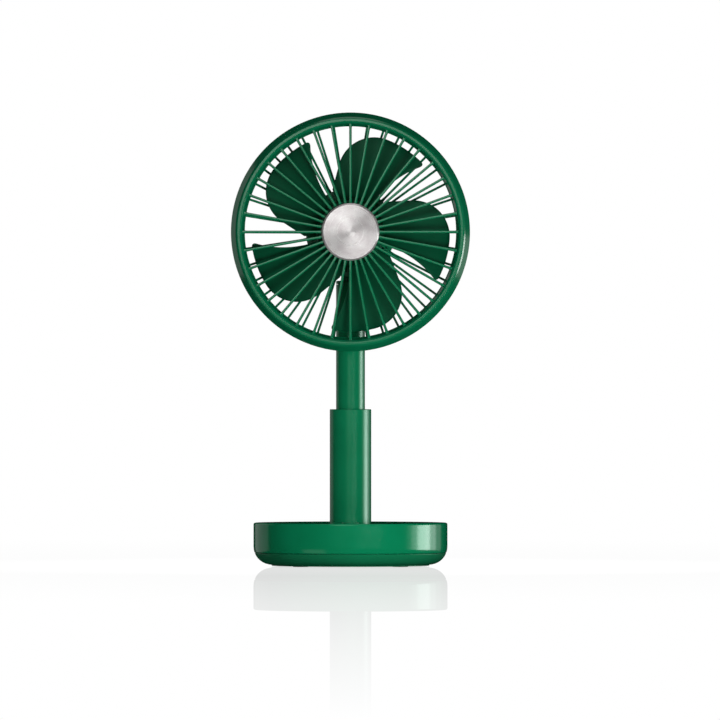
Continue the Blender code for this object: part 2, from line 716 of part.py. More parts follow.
def make_column():
    place = {"at": (0, COLUMN_Y, 0)}
    sleeve_bore = OUTER_TUBE_RADIUS + GAP
    ledge = SOCKET_BOTTOM + SOCKET_LEDGE
    top = SOCKET_BOTTOM + SOCKET_HEIGHT
    profile = [
        (SOCKET_SLEEVE_RADIUS, top), (SOCKET_SLEEVE_RADIUS, FLANGE_TOP),
        (SOCKET_FLANGE_RADIUS, FLANGE_TOP), (SOCKET_FLANGE_RADIUS, SOCKET_BOTTOM),
        (SOCKET_LEDGE_BORE, SOCKET_BOTTOM), (SOCKET_LEDGE_BORE, ledge), (sleeve_bore, ledge),
        (sleeve_bore, top),
    ]
    socket = turned("column_socket", profile, DARK_PLASTIC, TUBE_STEPS, closed=True, **place)
    for name, side in (("left", -1), ("right", 1)):
        x = side * SOCKET_SCREW_X
        hole = rod(
            f"flange_hole_{name}", SCREW_HOLE, SOCKET_BOTTOM - CUT, FLANGE_TOP - GAP,
            None, SCREW_STEPS, at=(x, COLUMN_Y, 0),
        )
        cut(socket, hole)
        length = FLANGE_TOP - SOCKET_SCREW_SHORT - BASE_UNDERSIDE - SCREW_HEAD_HEIGHT
        turned(
            f"socket_screw_{name}",
            screw_profile(SCREW_RADIUS, SCREW_HEAD_RADIUS, SCREW_HEAD_HEIGHT, length),
            STEEL, SCREW_STEPS, at=(x, COLUMN_Y, BASE_UNDERSIDE + GAP / 2), turn=(math.pi, 0, 0),
        )
    turned(
        "outer_tube", ring_profile(OUTER_TUBE_RADIUS, OUTER_TUBE_BORE, OUTER_TUBE_BOTTOM, OUTER_TUBE_TOP),
        GREEN_TUBE, TUBE_STEPS, closed=True, **place,
    )
    bush_bore = INNER_TUBE_RADIUS + GAP
    turned(
        "guide_bush", ring_profile(SLEEVE_RADIUS, bush_bore, OUTER_TUBE_TOP - BUSH_HEIGHT, OUTER_TUBE_TOP),
        DARK_PLASTIC, TUBE_STEPS, closed=True, **place,
    )
    coil_top = neck_plug_bottom() - GAP
    rod("lead_coil", LEAD_COIL_RADIUS, SOCKET_BOTTOM, coil_top, RUBBER, SCREW_STEPS, **place)


def neck_plug_bottom():
    return INNER_TUBE_TOP - NECK_PLUG_LENGTH


def make_mast(mast):
    turned(
        "inner_tube", ring_profile(INNER_TUBE_RADIUS, INNER_TUBE_BORE, INNER_TUBE_BOTTOM, INNER_TUBE_TOP),
        GREEN_TUBE, TUBE_STEPS, closed=True, parent=mast,
    )
    shoe_bore = INNER_TUBE_RADIUS + GAP
    turned(
        "slide_shoe",
        ring_profile(SLEEVE_RADIUS, shoe_bore, INNER_TUBE_BOTTOM, INNER_TUBE_BOTTOM + SHOE_HEIGHT),
        DARK_PLASTIC, TUBE_STEPS, closed=True, parent=mast,
    )
    collar_low = INNER_TUBE_TOP + GAP
    collar_top = INNER_TUBE_TOP + NECK_COLLAR_HEIGHT
    plug = INNER_TUBE_BORE - GAP
    profile = [
        (0, collar_top), (INNER_TUBE_RADIUS - GAP, collar_top), (INNER_TUBE_RADIUS, collar_top - GAP),
        (INNER_TUBE_RADIUS, collar_low), (plug, collar_low), (plug, neck_plug_bottom()),
        (0, neck_plug_bottom()),
    ]
    neck = turned("neck_block", profile, GREEN_SATIN, TUBE_STEPS, parent=mast)
    width = HINGE_BARREL_RADIUS
    outline = arc((0, HINGE_HEIGHT), width, 0, 180, BARREL_STEPS)
    outline += [(-width, collar_top - GAP), (width, collar_top - GAP)]
    quarter = {"parent": mast, "turn": (math.pi / 2, 0, math.pi / 2)}
    tongue = flat("tongue", [outline], -TONGUE_WIDTH / 2, TONGUE_WIDTH / 2, None, **quarter)
    join(neck, tongue)
    pin_hole = rod(
        "neck_pin_hole", PIN_HOLE, -TONGUE_WIDTH, TONGUE_WIDTH, None,
        parent=mast, at=(0, 0, HINGE_HEIGHT), turn=(0, math.pi / 2, 0),
    )
    bore = rod(
        "neck_bore", NECK_BORE_RADIUS, neck_plug_bottom() - CUT, NECK_BORE_TOP,
        None, SCREW_STEPS, parent=mast,
    )
    way_out = rod(
        "neck_way_out", NECK_BORE_RADIUS, 0, width + CUT, None, SCREW_STEPS, parent=mast,
        at=(0, 0, NECK_BORE_TOP - NECK_BORE_RADIUS), turn=(math.pi / 2, 0, 0),
    )
    cut(neck, pin_hole, bore, way_out)
    across = {"parent": mast, "turn": (0, math.pi / 2, 0)}
    for name, side in (("left", -1), ("right", 1)):
        inner = min(side * WASHER_X, side * (WASHER_X + WASHER_THICKNESS))
        turned(
            f"friction_washer_{name}",
            ring_profile(WASHER_RADIUS, PIN_HOLE, inner, inner + WASHER_THICKNESS),
            DARK_PLASTIC, closed=True, at=(0, 0, HINGE_HEIGHT), **across,
        )
    head_back = EAR_OUTER_X + GAP
    tip = head_back + NUT_THICKNESS + PIN_TIP
    head_end = -head_back - PIN_HEAD_THICKNESS
    profile = [
        (0, tip), (PIN_RADIUS, tip), (PIN_RADIUS, -head_back), (PIN_HEAD_RADIUS, -head_back),
        (PIN_HEAD_RADIUS * PIN_HEAD_TAPER, head_end), (0, head_end),
    ]
    turned("hinge_pin", profile, STEEL, at=(0, 0, HINGE_HEIGHT), **across)
    nut = [hexagon(NUT_RADIUS), circle(PIN_HOLE, SMALL_STEPS)]
    flat(
        "hinge_nut", nut, head_back, head_back + NUT_THICKNESS, STEEL, at=(0, 0, HINGE_HEIGHT), **across,
    )


# ---------------------------------------------------------------- head


def spoke_set(name, count, width, side, fan):
    """Straight radial spokes from one (radius, height) side view, turned round the fan's axis."""
    spokes = flat(name, [side], -width / 2, width / 2, None, parent=fan)
    form = bmesh.new()
    form.from_mesh(spokes.data)
    upright = Matrix.Rotation(math.pi / 2, 3, "X")
    bmesh.ops.transform(form, verts=form.verts, matrix=upright.to_4x4())
    bmesh.ops.spin(
        form, geom=form.verts[:] + form.edges[:] + form.faces[:], cent=(0, 0, 0), axis=(0, 0, 1),
        angle=math.tau * (count - 1) / count, steps=count - 1, use_duplicate=True,
    )
    form.to_mesh(spokes.data)
    form.free()
    return spokes


def make_front_grille(fan):
    crest = (HEAD_RADIUS - RING_CREST_INSET, RING_FRONT)
    shoulder = RING_SHOULDER
    spigot = HEAD_RADIUS - WALL - GAP - GAP
    spigot_bore = spigot - WALL
    wide, deep = HEAD_RADIUS - crest[0], crest[1] - shoulder
    outer_round = [
        (crest[0] + wide * x, shoulder + deep * y) for x, y in arc((0, 0), 1, 90, 0, RING_CREST_STEPS)
    ]
    profile = outer_round + [
        (HEAD_RADIUS, RING_SEAM + GAP), (spigot, RING_SEAM + GAP), (spigot, RING_SPIGOT_BACK),
        (spigot_bore, RING_SPIGOT_BACK), (spigot_bore, shoulder), (crest[0], RING_FRONT - WALL),
        (RING_OPENING + WALL, shoulder), (RING_OPENING + WALL, RING_INNER_BACK),
        (RING_OPENING, RING_INNER_BACK), (RING_OPENING, RING_FRONT - RING_CHAMFER),
        (RING_OPENING + WALL, RING_FRONT - RING_CHAMFER * RING_BEVEL_SHARE),
    ]
    ring = turned("front_grille", profile, GREEN_GLOSS, HEAD_STEPS, closed=True, parent=fan)
    low, high = FRONT_SPOKE_DEPTHS
    root, end = BOSS_RADIUS - WALL, RING_OPENING + WALL / 2
    side = [(root, low), (end, low), (end, high), (root, high)]
    spokes = spoke_set("front_spokes", FRONT_SPOKES, FRONT_SPOKE_WIDTH, side, fan)
    boss = rod("boss", BOSS_RADIUS, low - GAP, BOSS_FRONT, None, HEAD_STEPS, parent=fan)
    seat = rod("cap_seat", CAP_RADIUS + GAP, CAP_SEAT, BOSS_FRONT + CUT, None, ROUND_STEPS, parent=fan)
    join(ring, spokes, boss)
    cut(ring, seat)
    cap_back = CAP_SEAT + GAP
    profile = [
        (0, CAP_FRONT), (CAP_RADIUS - CAP_EDGE, CAP_FRONT - GAP), (CAP_RADIUS, CAP_FRONT - WALL / 2),
        (CAP_RADIUS, cap_back), (0, cap_back),
    ]
    turned("hub_cap", profile, SPUN_METAL, ROUND_STEPS, parent=fan)


def make_rear_grille(fan):
    band = HEAD_RADIUS - WALL
    low = REAR_RIM_BACK
    thick = REAR_SPOKE_THICKNESS
    lip_front = low + thick + GAP * 2
    corner = REAR_RIM_ROUND * ROUND_CORNER
    profile = [
        (HEAD_RADIUS, RING_SEAM), (HEAD_RADIUS, low + REAR_RIM_ROUND),
        (HEAD_RADIUS - corner, low + corner), (HEAD_RADIUS - REAR_RIM_ROUND, low),
        (REAR_LIP_RADIUS, low), (REAR_LIP_RADIUS, lip_front), (band - WALL, lip_front),
        (band, lip_front + WALL), (band, RING_SEAM),
    ]
    rear = turned("rear_grille", profile, GREEN_SATIN, REAR_STEPS, closed=True, parent=fan)
    root, end = PLATE_RADIUS - WALL, REAR_LIP_RADIUS + WALL / 2
    root_back = PLATE_BACK + GAP
    root_front = PLATE_FRONT - GAP
    side = [(root, root_back), (end, low + GAP), (end, lip_front - GAP), (root, root_front)]
    spokes = spoke_set("rear_spokes", REAR_SPOKES, REAR_SPOKE_WIDTH, side, fan)
    plate = rod("centre_plate", PLATE_RADIUS, PLATE_BACK, PLATE_FRONT, None, REAR_STEPS, parent=fan)
    join(rear, spokes, plate)
    through = (PLATE_BACK - CUT, PLATE_FRONT + CUT)
    lead_hole = rod("plate_lead_hole", BEARING_RADIUS, *through, None, parent=fan)
    cut(rear, lead_hole)
    for number, angle in enumerate(POD_SCREW_ANGLES, 1):
        x, y = on_circle(POD_SCREW_CIRCLE, angle)
        hole = rod(
            f"plate_hole_{number}", SCREW_HOLE, *through, None, SCREW_STEPS, parent=fan, at=(x, y, 0),
        )
        cut(rear, hole)
        head_top = PLATE_FRONT + GAP + SCREW_HEAD_HEIGHT
        turned(
            f"pod_screw_{number}",
            screw_profile(SCREW_RADIUS, SCREW_HEAD_RADIUS, SCREW_HEAD_HEIGHT, SCREW_BITE + thick),
            STEEL, SCREW_STEPS, parent=fan, at=(x, y, head_top),
        )
    for side in (-1, 1):
        hole = rod(
            f"plate_motor_hole_{side}", SCREW_HOLE, *through, None, SCREW_STEPS,
            parent=fan, at=(0, side * BRACKET_SCREW_Y, 0),
        )
        cut(rear, hole)


def make_pod(fan):
    centre = (POD_RADIUS - POD_ROUND, POD_BACK + POD_ROUND)
    inner_back = POD_BACK + POD_WALL
    profile = [(0, inner_back)]
    profile += arc(centre, POD_ROUND - POD_WALL, 270, 360, 3)
    profile += [(POD_RADIUS - POD_WALL, POD_FRONT), (POD_RADIUS, POD_FRONT)]
    profile += arc(centre, POD_ROUND, 360, 270, 4)
    profile += [(0, POD_BACK)]
    pod = turned("pod_cover", profile, GREEN_SATIN, ROUND_STEPS, parent=fan)
    for number, angle in enumerate(POD_SCREW_ANGLES, 1):
        x, y = on_circle(POD_SCREW_CIRCLE, angle)
        boss = rod(
            f"pod_boss_{number}", POD_BOSS_RADIUS, inner_back - POD_WALL / 2, POD_FRONT,
            None, SCREW_STEPS, parent=fan, at=(x, y, 0),
        )
        hole = rod(
            f"pod_boss_hole_{number}", SCREW_HOLE, POD_FRONT - SCREW_BITE - CUT, POD_FRONT + CUT,
            None, SCREW_STEPS, parent=fan, at=(x, y, 0),
        )
        join(pod, boss)
        cut(pod, hole)
    half = TONGUE_WIDTH / 2 + POD_SLOT_SLACK
    slot_top = HINGE_Y + HINGE_BARREL_RADIUS + POD_SLOT_SLACK
    slot = block(
        "pod_slot", (-half, -POD_RADIUS - CUT, POD_BACK - CUT), (half, slot_top, POD_SLOT_FRONT),
        None, parent=fan,
    )
    cut(pod, slot)


def make_bracket(fan):
    web_back = POD_FRONT - EAR_THICKNESS
    ear_end = HINGE_DEPTH - EAR_RADIUS
    u_shape = [
        (-EAR_OUTER_X, POD_FRONT), (-EAR_OUTER_X, ear_end - CUT), (-EAR_X, ear_end - CUT), (-EAR_X, web_back),
        (EAR_X, web_back), (EAR_X, ear_end - CUT), (EAR_OUTER_X, ear_end - CUT), (EAR_OUTER_X, POD_FRONT),
    ]
    # The U lies in X and depth, so it is drawn flat and turned to run up the head's Y.
    low = HINGE_Y - EAR_RADIUS - CUT
    bracket = flat(
        "tilt_bracket", [[(x, -z) for x, z in reversed(u_shape)]], low, BRACKET_TOP, STEEL,
        parent=fan, turn=(-math.pi / 2, 0, 0),
    )
    side = [(POD_FRONT + CUT, HINGE_Y - EAR_RADIUS), (HINGE_DEPTH, HINGE_Y - EAR_RADIUS)]
    side += arc((HINGE_DEPTH, HINGE_Y), EAR_RADIUS, 270, 90, CLAMP_STEPS)[1:]
    side += [
        (web_back, BRACKET_TOP - CUT), (web_back, BRACKET_TOP - GAP), (POD_FRONT + CUT, BRACKET_TOP - GAP),
    ]
    outline = flat(
        "bracket_side", [[(-z, y) for z, y in side]], -EAR_OUTER_X - CUT, EAR_OUTER_X + CUT, None,
        parent=fan, turn=(0, math.pi / 2, 0),
    )
    boolean(bracket, outline, "INTERSECT")
    pin_hole = rod(
        "ear_pin_hole", PIN_HOLE, -EAR_OUTER_X - CUT, EAR_OUTER_X + CUT, None,
        parent=fan, at=(0, HINGE_Y, HINGE_DEPTH), turn=(0, math.pi / 2, 0),
    )
    cut(bracket, pin_hole)
    for name, side_y in (("upper", 1), ("lower", -1)):
        y = side_y * BRACKET_SCREW_Y
        hole = rod(
            f"web_hole_{name}", SCREW_HOLE, web_back - CUT, POD_FRONT + CUT,
            None, SCREW_STEPS, parent=fan, at=(0, y, 0),
        )
        cut(bracket, hole)
        head_top = web_back - GAP - SCREW_HEAD_HEIGHT
        length = MOTOR_SEAT - WALL / 2 - (web_back - GAP)
        turned(
            f"motor_screw_{name}",
            screw_profile(SCREW_RADIUS, SCREW_HEAD_RADIUS, SCREW_HEAD_HEIGHT, length),
            STEEL, SCREW_STEPS, parent=fan, at=(0, y, head_top), turn=(math.pi, 0, 0),
        )


def make_motor(fan):
    bore = MOTOR_RADIUS - MOTOR_WALL
    bearing_back = MOTOR_SEAT - BEARING_LENGTH
    pocket = bearing_back - GAP
    profile = [
        (MOTOR_RADIUS, MOTOR_FRONT), (MOTOR_RADIUS, MOTOR_BACK), (SHAFT_RADIUS + GAP, MOTOR_BACK),
        (SHAFT_RADIUS + GAP, pocket), (BEARING_SEAT, pocket), (BEARING_SEAT, MOTOR_SEAT),
        (bore, MOTOR_SEAT), (bore, MOTOR_FRONT),
    ]
    can = turned("motor_can", profile, STEEL, ROUND_STEPS, closed=True, parent=fan)
    for side in (-1, 1):
        hole = rod(
            f"can_hole_{side}", SCREW_HOLE, MOTOR_BACK - CUT, MOTOR_SEAT - GAP * 2,
            None, SCREW_STEPS, parent=fan, at=(0, side * BRACKET_SCREW_Y, 0),
        )
        cut(can, hole)
    cap_front = MOTOR_CAP_BACK + MOTOR_CAP_THICKNESS
    snout = MOTOR_CAP_BACK + MOTOR_SNOUT_LENGTH
    spigot = bore - GAP
    spigot_end = MOTOR_CAP_BACK - MOTOR_CAP_THICKNESS
    snout_bore = SHAFT_RADIUS + GAP * 2
    seat_end = MOTOR_CAP_BACK + BEARING_LENGTH + GAP
    profile = [
        (MOTOR_SNOUT_RADIUS, snout), (MOTOR_SNOUT_RADIUS, cap_front), (MOTOR_RADIUS, cap_front),
        (MOTOR_RADIUS, MOTOR_CAP_BACK), (spigot, MOTOR_CAP_BACK), (spigot, spigot_end),
        (BEARING_SEAT, spigot_end), (BEARING_SEAT, seat_end), (snout_bore, seat_end), (snout_bore, snout),
    ]
    turned("motor_cap", profile, STEEL, ROUND_STEPS, closed=True, parent=fan)
    bearing_bore = SHAFT_RADIUS + GAP
    for name, low in (("rear", bearing_back), ("front", MOTOR_CAP_BACK)):
        turned(
            f"{name}_bearing", ring_profile(BEARING_RADIUS, bearing_bore, low, low + BEARING_LENGTH),
            STEEL, closed=True, parent=fan,
        )
    low, high = STATOR_DEPTHS
    turned(
        "stator", ring_profile(spigot, STATOR_BORE, low, high), COPPER, ROUND_STEPS, closed=True, parent=fan,
    )
    turned(
        "rotor_core", ring_profile(ROTOR_CORE_RADIUS, SHAFT_RADIUS + GAP, low + GAP, high - GAP),
        DARK_STEEL, ROUND_STEPS, closed=True, parent=fan,
    )
    rod("motor_shaft", SHAFT_RADIUS, pocket + GAP, SHAFT_FRONT, STEEL, SMALL_STEPS, parent=fan)


# ---------------------------------------------------------------- impeller


def blade_lead_deg(radius):
    """Angle of the rounded leading edge: an edge parallel to the blade's axis, then a corner arc."""
    reach = BLADE_TIP_RADIUS - BLADE_CORNER_RADIUS
    drop = BLADE_LEAD_OFFSET - BLADE_CORNER_RADIUS
    run = math.sqrt(reach ** 2 - drop ** 2)
    if radius < math.hypot(run, BLADE_LEAD_OFFSET):
        straight = math.degrees(math.asin(min(1, BLADE_LEAD_OFFSET / radius)))
        return min(BLADE_LEAD_LIMIT_DEG, straight)
    cosine = (radius ** 2 + reach ** 2 - BLADE_CORNER_RADIUS ** 2) / (2 * radius * reach)
    return math.degrees(math.atan2(drop, run) + math.acos(min(1, cosine)))


def blade_trail_deg(radius):
    share = max(0, radius - BLADE_TRAIL_START) / (BLADE_TIP_RADIUS - BLADE_TRAIL_START)
    return -BLADE_TRAIL_ROOT_DEG - BLADE_TRAIL_SWEEP_DEG * share ** BLADE_TRAIL_POWER


def blade_mesh():
    """One blade as an open curved sheet about the X axis: u runs from trailing to leading edge."""
    form = bmesh.new()
    rows = []
    for i in range(BLADE_STATIONS + 1):
        share = math.sin(math.pi / 2 * i / BLADE_STATIONS)
        radius = BLADE_ROOT_RADIUS + (BLADE_TIP_RADIUS - BLADE_ROOT_RADIUS) * share
        lead, trail = blade_lead_deg(radius), blade_trail_deg(radius)
        depth = BLADE_ROOT_DEPTH + (BLADE_TIP_DEPTH - BLADE_ROOT_DEPTH) * share
        row = []
        for j in range(BLADE_CHORD_CELLS + 1):
            u = j / BLADE_CHORD_CELLS
            x, y = on_circle(radius, trail + (lead - trail) * u)
            z = BLADE_FRONT - depth * u - BLADE_CAMBER * math.sin(math.pi * u)
            row.append(form.verts.new((x, y, z)))
        rows.append(row)
    for low, high in zip(rows, rows[1:]):
        for j in range(BLADE_CHORD_CELLS):
            form.faces.new((low[j], high[j], high[j + 1], low[j + 1]))
    mesh = bpy.data.meshes.new("blade")
    form.to_mesh(mesh)
    form.free()
    return mesh


def make_impeller(fan):
    inner = HUB_RADIUS - HUB_WALL
    floor = HUB_FRONT - HUB_WALL
    bore = SHAFT_RADIUS + GAP
    boss_front = HUB_FRONT + GAP
    profile = [(HUB_BOSS_RADIUS, boss_front), (HUB_BOSS_RADIUS, HUB_FRONT)]
    profile += arc((HUB_RADIUS - HUB_ROUND, HUB_FRONT - HUB_ROUND), HUB_ROUND, 90, 0, 2)
    profile += [
        (HUB_RADIUS, HUB_BACK), (inner, HUB_BACK), (inner, floor), (HUB_BOSS_RADIUS, floor),
        (HUB_BOSS_RADIUS, HUB_BOSS_BACK), (bore, HUB_BOSS_BACK), (bore, boss_front),
    ]
    hub = turned("impeller", profile, GREEN_BLADE, ROUND_STEPS, closed=True, parent=fan)
    for number in range(BLADES):
        turn = math.radians(BLADE_AXIS_DEG + number * 360 / BLADES)
        blade = mesh_object(f"blade_{number + 1}", blade_mesh(), None, parent=fan, turn=(0, 0, turn))
        skin = blade.modifiers.new("thickness", "SOLIDIFY")
        skin.thickness = BLADE_THICKNESS
        skin.offset = 0
        join(hub, blade)
    nut_low = boss_front + GAP
    nut = [hexagon(BLADE_NUT_RADIUS), circle(bore, SCREW_STEPS)]
    flat("blade_nut", nut, nut_low, nut_low + BLADE_NUT_THICKNESS, STEEL, parent=fan)


# ---------------------------------------------------------------- build

for leftover in list(bpy.data.objects):
    bpy.data.objects.remove(leftover)

PARTS = new_collection("desk_fan")
CUTTERS = new_collection("cutters")

GREEN_GLOSS = material("green_gloss_plastic", (0.002, 0.157, 0.068), 0.25)
GREEN_SATIN = material("green_satin_plastic", (0.002, 0.13, 0.056), 0.4)
GREEN_TUBE = material("green_lacquered_tube", (0.003, 0.14, 0.062), 0.28, 0.2)
GREEN_BLADE = material("green_blade_plastic", (0.003, 0.075, 0.03), 0.45)
SPUN_METAL = material("spun_aluminium", (0.62, 0.6, 0.58), 0.3, 1.0)
STEEL = material("steel", (0.5, 0.5, 0.5), 0.35, 1.0)
DARK_STEEL = material("dark_steel", (0.12, 0.12, 0.12), 0.5, 1.0)
COPPER = material("copper_windings", (0.45, 0.18, 0.08), 0.4, 1.0)
DARK_PLASTIC = material("dark_plastic", (0.015, 0.02, 0.018), 0.5)
RUBBER = material("rubber", (0.012, 0.012, 0.012), 0.8)
BOARD = material("circuit_board", (0.01, 0.06, 0.02), 0.5)
CELL_WRAP = material("cell_wrap", (0.02, 0.08, 0.25), 0.35)
LENS = material("lens", (0.8, 0.8, 0.78), 0.15)

make_base_shell()
make_base_tray()
make_feet()
make_ballast()
make_battery("left", -1)
make_battery("right", 1)
make_controls()
make_inlet()
make_column()
mast_axis = frame_empty("mast_axis", (0, COLUMN_Y, 0))
make_mast(mast_axis)
tilt_axis = frame_empty("tilt_axis", (0, COLUMN_Y, HINGE_HEIGHT))
fan_axis = frame_empty(
    "fan_axis", (0, -COLUMN_Y, HEAD_HEIGHT - HINGE_HEIGHT), (math.pi / 2, 0, 0), tilt_axis,
)
make_front_grille(fan_axis)
make_rear_grille(fan_axis)
make_pod(fan_axis)
make_bracket(fan_axis)
make_motor(fan_axis)
make_impeller(fan_axis)
bpy.context.view_layer.update()
for made in PARTS.objects:
    if made.type == "MESH" and made.data.polygons:
        made.data.shade_smooth()
        made.data.set_sharp_from_angle(angle=math.radians(SHARP_DEG))
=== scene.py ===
"""Looks for the desk fan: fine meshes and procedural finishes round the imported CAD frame.

Metres, +Z up, front along -Y. Head pieces are modelled in the head's own frame (X right, Y up,
Z forward out of the grille) and set in place by HEAD; column and base pieces are turned about +Z.
"""

import math

import bmesh
import bpy
from mathutils import Matrix, Vector


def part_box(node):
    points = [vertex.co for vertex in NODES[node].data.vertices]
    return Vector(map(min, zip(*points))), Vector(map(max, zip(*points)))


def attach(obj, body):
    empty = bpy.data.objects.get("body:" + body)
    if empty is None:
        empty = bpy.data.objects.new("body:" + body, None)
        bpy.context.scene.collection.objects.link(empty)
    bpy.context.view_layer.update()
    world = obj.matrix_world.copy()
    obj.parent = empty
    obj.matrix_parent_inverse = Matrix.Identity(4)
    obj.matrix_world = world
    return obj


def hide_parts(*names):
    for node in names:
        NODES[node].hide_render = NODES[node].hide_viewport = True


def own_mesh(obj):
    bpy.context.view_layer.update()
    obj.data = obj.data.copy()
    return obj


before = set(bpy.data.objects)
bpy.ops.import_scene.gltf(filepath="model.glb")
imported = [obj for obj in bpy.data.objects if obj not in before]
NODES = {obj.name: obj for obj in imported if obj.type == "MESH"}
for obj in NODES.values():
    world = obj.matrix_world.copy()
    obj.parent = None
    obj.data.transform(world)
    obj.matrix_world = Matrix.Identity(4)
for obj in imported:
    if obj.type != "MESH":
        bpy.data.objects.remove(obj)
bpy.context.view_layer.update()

# ------------ sizes

GAP = 0.0003
FINE_STEPS = 128
STEPS = 72
SMALL_STEPS = 36
SMOOTH_ANGLE = math.radians(35)
SOFTEN_ANGLE = math.radians(40)
ARC_STEP = math.radians(10)

# Base
BASE_EDGE_ROUND = 0.015
BASE_TOP_ROUND = 0.0015
BASE_UNDERSIDE = 0.0012
BASE_RIM_BOTTOM = 0.0004
BASE_RIM_WIDTH = 0.0009
BASE_SEAM = 0.011
WALL = 0.0022
SEAM_STEP = 0.0003
FEET = [f"foot_{number}" for number in range(1, 5)]
FOOT_GROOVE = 0.0003
BUTTON_RADIUS = 0.007
BUTTON_HOLE = 0.0074
BUTTON_DISH = 0.0004
LENS_RADIUS = 0.0012
PORT_MOUTH = (0.012, 0.007)
PORT_HEIGHT = 0.021
PORT_DEPTH = 0.0068
PORT_CORNER = 0.0018
SOCKET_WALL = 0.0003
FOOT_RECESS_TOP = 0.0024
SCREW_RECESS = (0.0030, 0.0029)

# Column
OUTER_TUBE_WALL = 0.002
INNER_TUBE_WALL = 0.0015
TENTH = 0.0001
LEAD_WIRE = 0.0012
LEAD_PITCH = 0.0045
LEAD_STEPS = 16
LEAD_SIDES = 8

# Head
RING_STEPS = 180
RING_CREST = 0.0925
RING_FRONT = 0.034
RING_OPENING = 0.0872
RING_SEAM = 0.0222
RING_SPIGOT_BACK = 0.017
FRONT_SPOKES = 36
REAR_SPOKES = 40
SPOKE_SIDES = 12
SPOKE_SQUARE = 0.5
SPOKE_STATIONS = 12
FRONT_SPOKE_DEPTH = 0.0292
FRONT_SPOKE_HALF = (0.0011, 0.0015)
REAR_RIM_BACK = 0.004
REAR_LIP = 0.0935
PLATE_RADIUS = 0.037
PLATE_DEPTHS = (-0.0115, -0.009)
POD_ROUND = 0.008
POD_WALL = 0.002
POD_SLOT_FRONT = -0.0185
MOTOR_WALL = 0.0015
MOTOR_PLATE = 0.002
SHAFT_BORE = 0.0023

# Hinge
HINGE_BARREL = 0.0085
TONGUE_HALF = 0.006
PIN_RADIUS = 0.003
PIN_SOCKET = 0.0023
WASHER_RADIUS = 0.0075
COLLAR_HEIGHT = 0.003
EAR_RADIUS = 0.008
EAR_THICKNESS = 0.0025

# Impeller
BLADES = 5
BLADE_AXIS_DEG = 75
BLADE_TIP = 0.0825
BLADE_ROOT = 0.0268
BLADE_THICKNESS = 0.0014
BLADE_EDGE = 0.0004
BLADE_LEAD_OFFSET = 0.0237
BLADE_LEAD_LIMIT_DEG = 38
BLADE_CORNER = 0.030
BLADE_TRAIL_ROOT_DEG = 23
BLADE_TRAIL_SWEEP_DEG = 10.3
BLADE_TRAIL_START = 0.035
BLADE_TRAIL_CORNER = 0.004
BLADE_FRONT = 0.0225
BLADE_ROOT_DEPTH = 0.015
BLADE_TIP_DEPTH = 0.011
BLADE_CAMBER = 0.0018
BLADE_STATIONS = 30
BLADE_CELLS = 26
BLADE_SIDE_ROUND = 0.0022
HUB_RADIUS = 0.028
HUB_FRONT = 0.024
HUB_BACK = -0.001
HUB_WALL = 0.002
HUB_BOSS = 0.006
HUB_BOSS_BACK = 0.0198

# Finishes
FINE_GRAIN = 0.00002
PATCH_SCALE = 28.0
# the Mix node's colour sockets
MIX_SHARE, MIX_FIRST, MIX_SECOND, MIX_RESULT = 0, 6, 7, 2

# Stage
CAMERA_PLACE = (0.0079, -10.0, 0.171)
FRAME_WIDTH = 0.5976
AMBIENT = 0.28
TABLE_DROP = 0.0001
FLOOR_MATT = 0.16
FLOOR_GLOW = 0.97
MATT_FADE = (0.12, 0.45)
GLOW_FADE = (0.3, 1.5)
MIRROR_SHARE = 0.28
MIRROR_FADE = (0.2, 4.3)
TABLE_HALF = 20.0
CARD_RADIUS = 3.4
CARD_HEIGHTS = (-1.6, 9.0)
CARD_STEPS = 48
LAMP_AIM = 0.1
# name, azimuth and elevation in degrees, distance, (width, height), radiance, what it shows in
LAMPS = [
    ("key", 22, 0, 0.75, (0.36, 0.18), 20.0, "matt"),
    ("side_softbox_wide", 102, -4, 1.52, (1.9, 0.5), 0.6, "gloss"),
    ("side_softbox_middle", 98, -4, 1.50, (1.2, 0.5), 2.2, "gloss"),
    ("side_softbox_narrow", 96, -4, 1.48, (0.57, 0.5), 6.5, "gloss"),
    ("front_card", -8, 16, 2.6, (1.1, 1.1), 2.9, "gloss"),
    ("low_left_card", -45, -25, 2.6, (1.2, 1.2), 0.7, "gloss"),
    ("back_left_card", -135, 8, 2.6, (2.0, 2.0), 0.35, "gloss"),
    ("back_fill", 200, 30, 2.2, (0.9, 0.9), 8.0, "matt"),
]


def low(node, axis):
    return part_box(node)[0]["xyz".index(axis)]


def high(node, axis):
    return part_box(node)[1]["xyz".index(axis)]


def middle(node, axis):
    return (low(node, axis) + high(node, axis)) / 2


def half_size(node, axis):
    return (high(node, axis) - low(node, axis)) / 2


def standing_at(node):
    return Matrix.Translation((middle(node, "x"), middle(node, "y"), 0))


BASE_RADIUS = high("base_shell", "x")
BASE_TOP = high("base_shell", "z")
HEAD_RADIUS = high("front_grille", "x")
COLUMN_Y = middle("outer_tube", "y")
HINGE_Z = middle("hinge_pin", "z")
HEAD_Z = middle("hub_cap", "z")
TO_FRONT = Matrix.Rotation(math.pi / 2, 4, "X")
COLUMN = Matrix.Translation((0, COLUMN_Y, 0))
HEAD = Matrix.Translation((0, 0, HEAD_Z)) @ TO_FRONT
ACROSS = Matrix.Translation((0, COLUMN_Y, HINGE_Z)) @ Matrix.Rotation(math.pi / 2, 4, "Y")
HINGE_DEPTH = -COLUMN_Y
HINGE_BELOW = HINGE_Z - HEAD_Z


# ------------ finishes


def node(tree, kind, inputs=None, **settings):
    """A shader node; an input is a value, or a socket to link from."""
    made = tree.nodes.new("ShaderNode" + kind)
    for key, value in settings.items():
        setattr(made, key, value)
    for key, value in (inputs or {}).items():
        socket = made.inputs[key]
        if isinstance(value, bpy.types.NodeSocket):
            tree.links.new(value, socket)
        else:
            socket.default_value = value
    return made


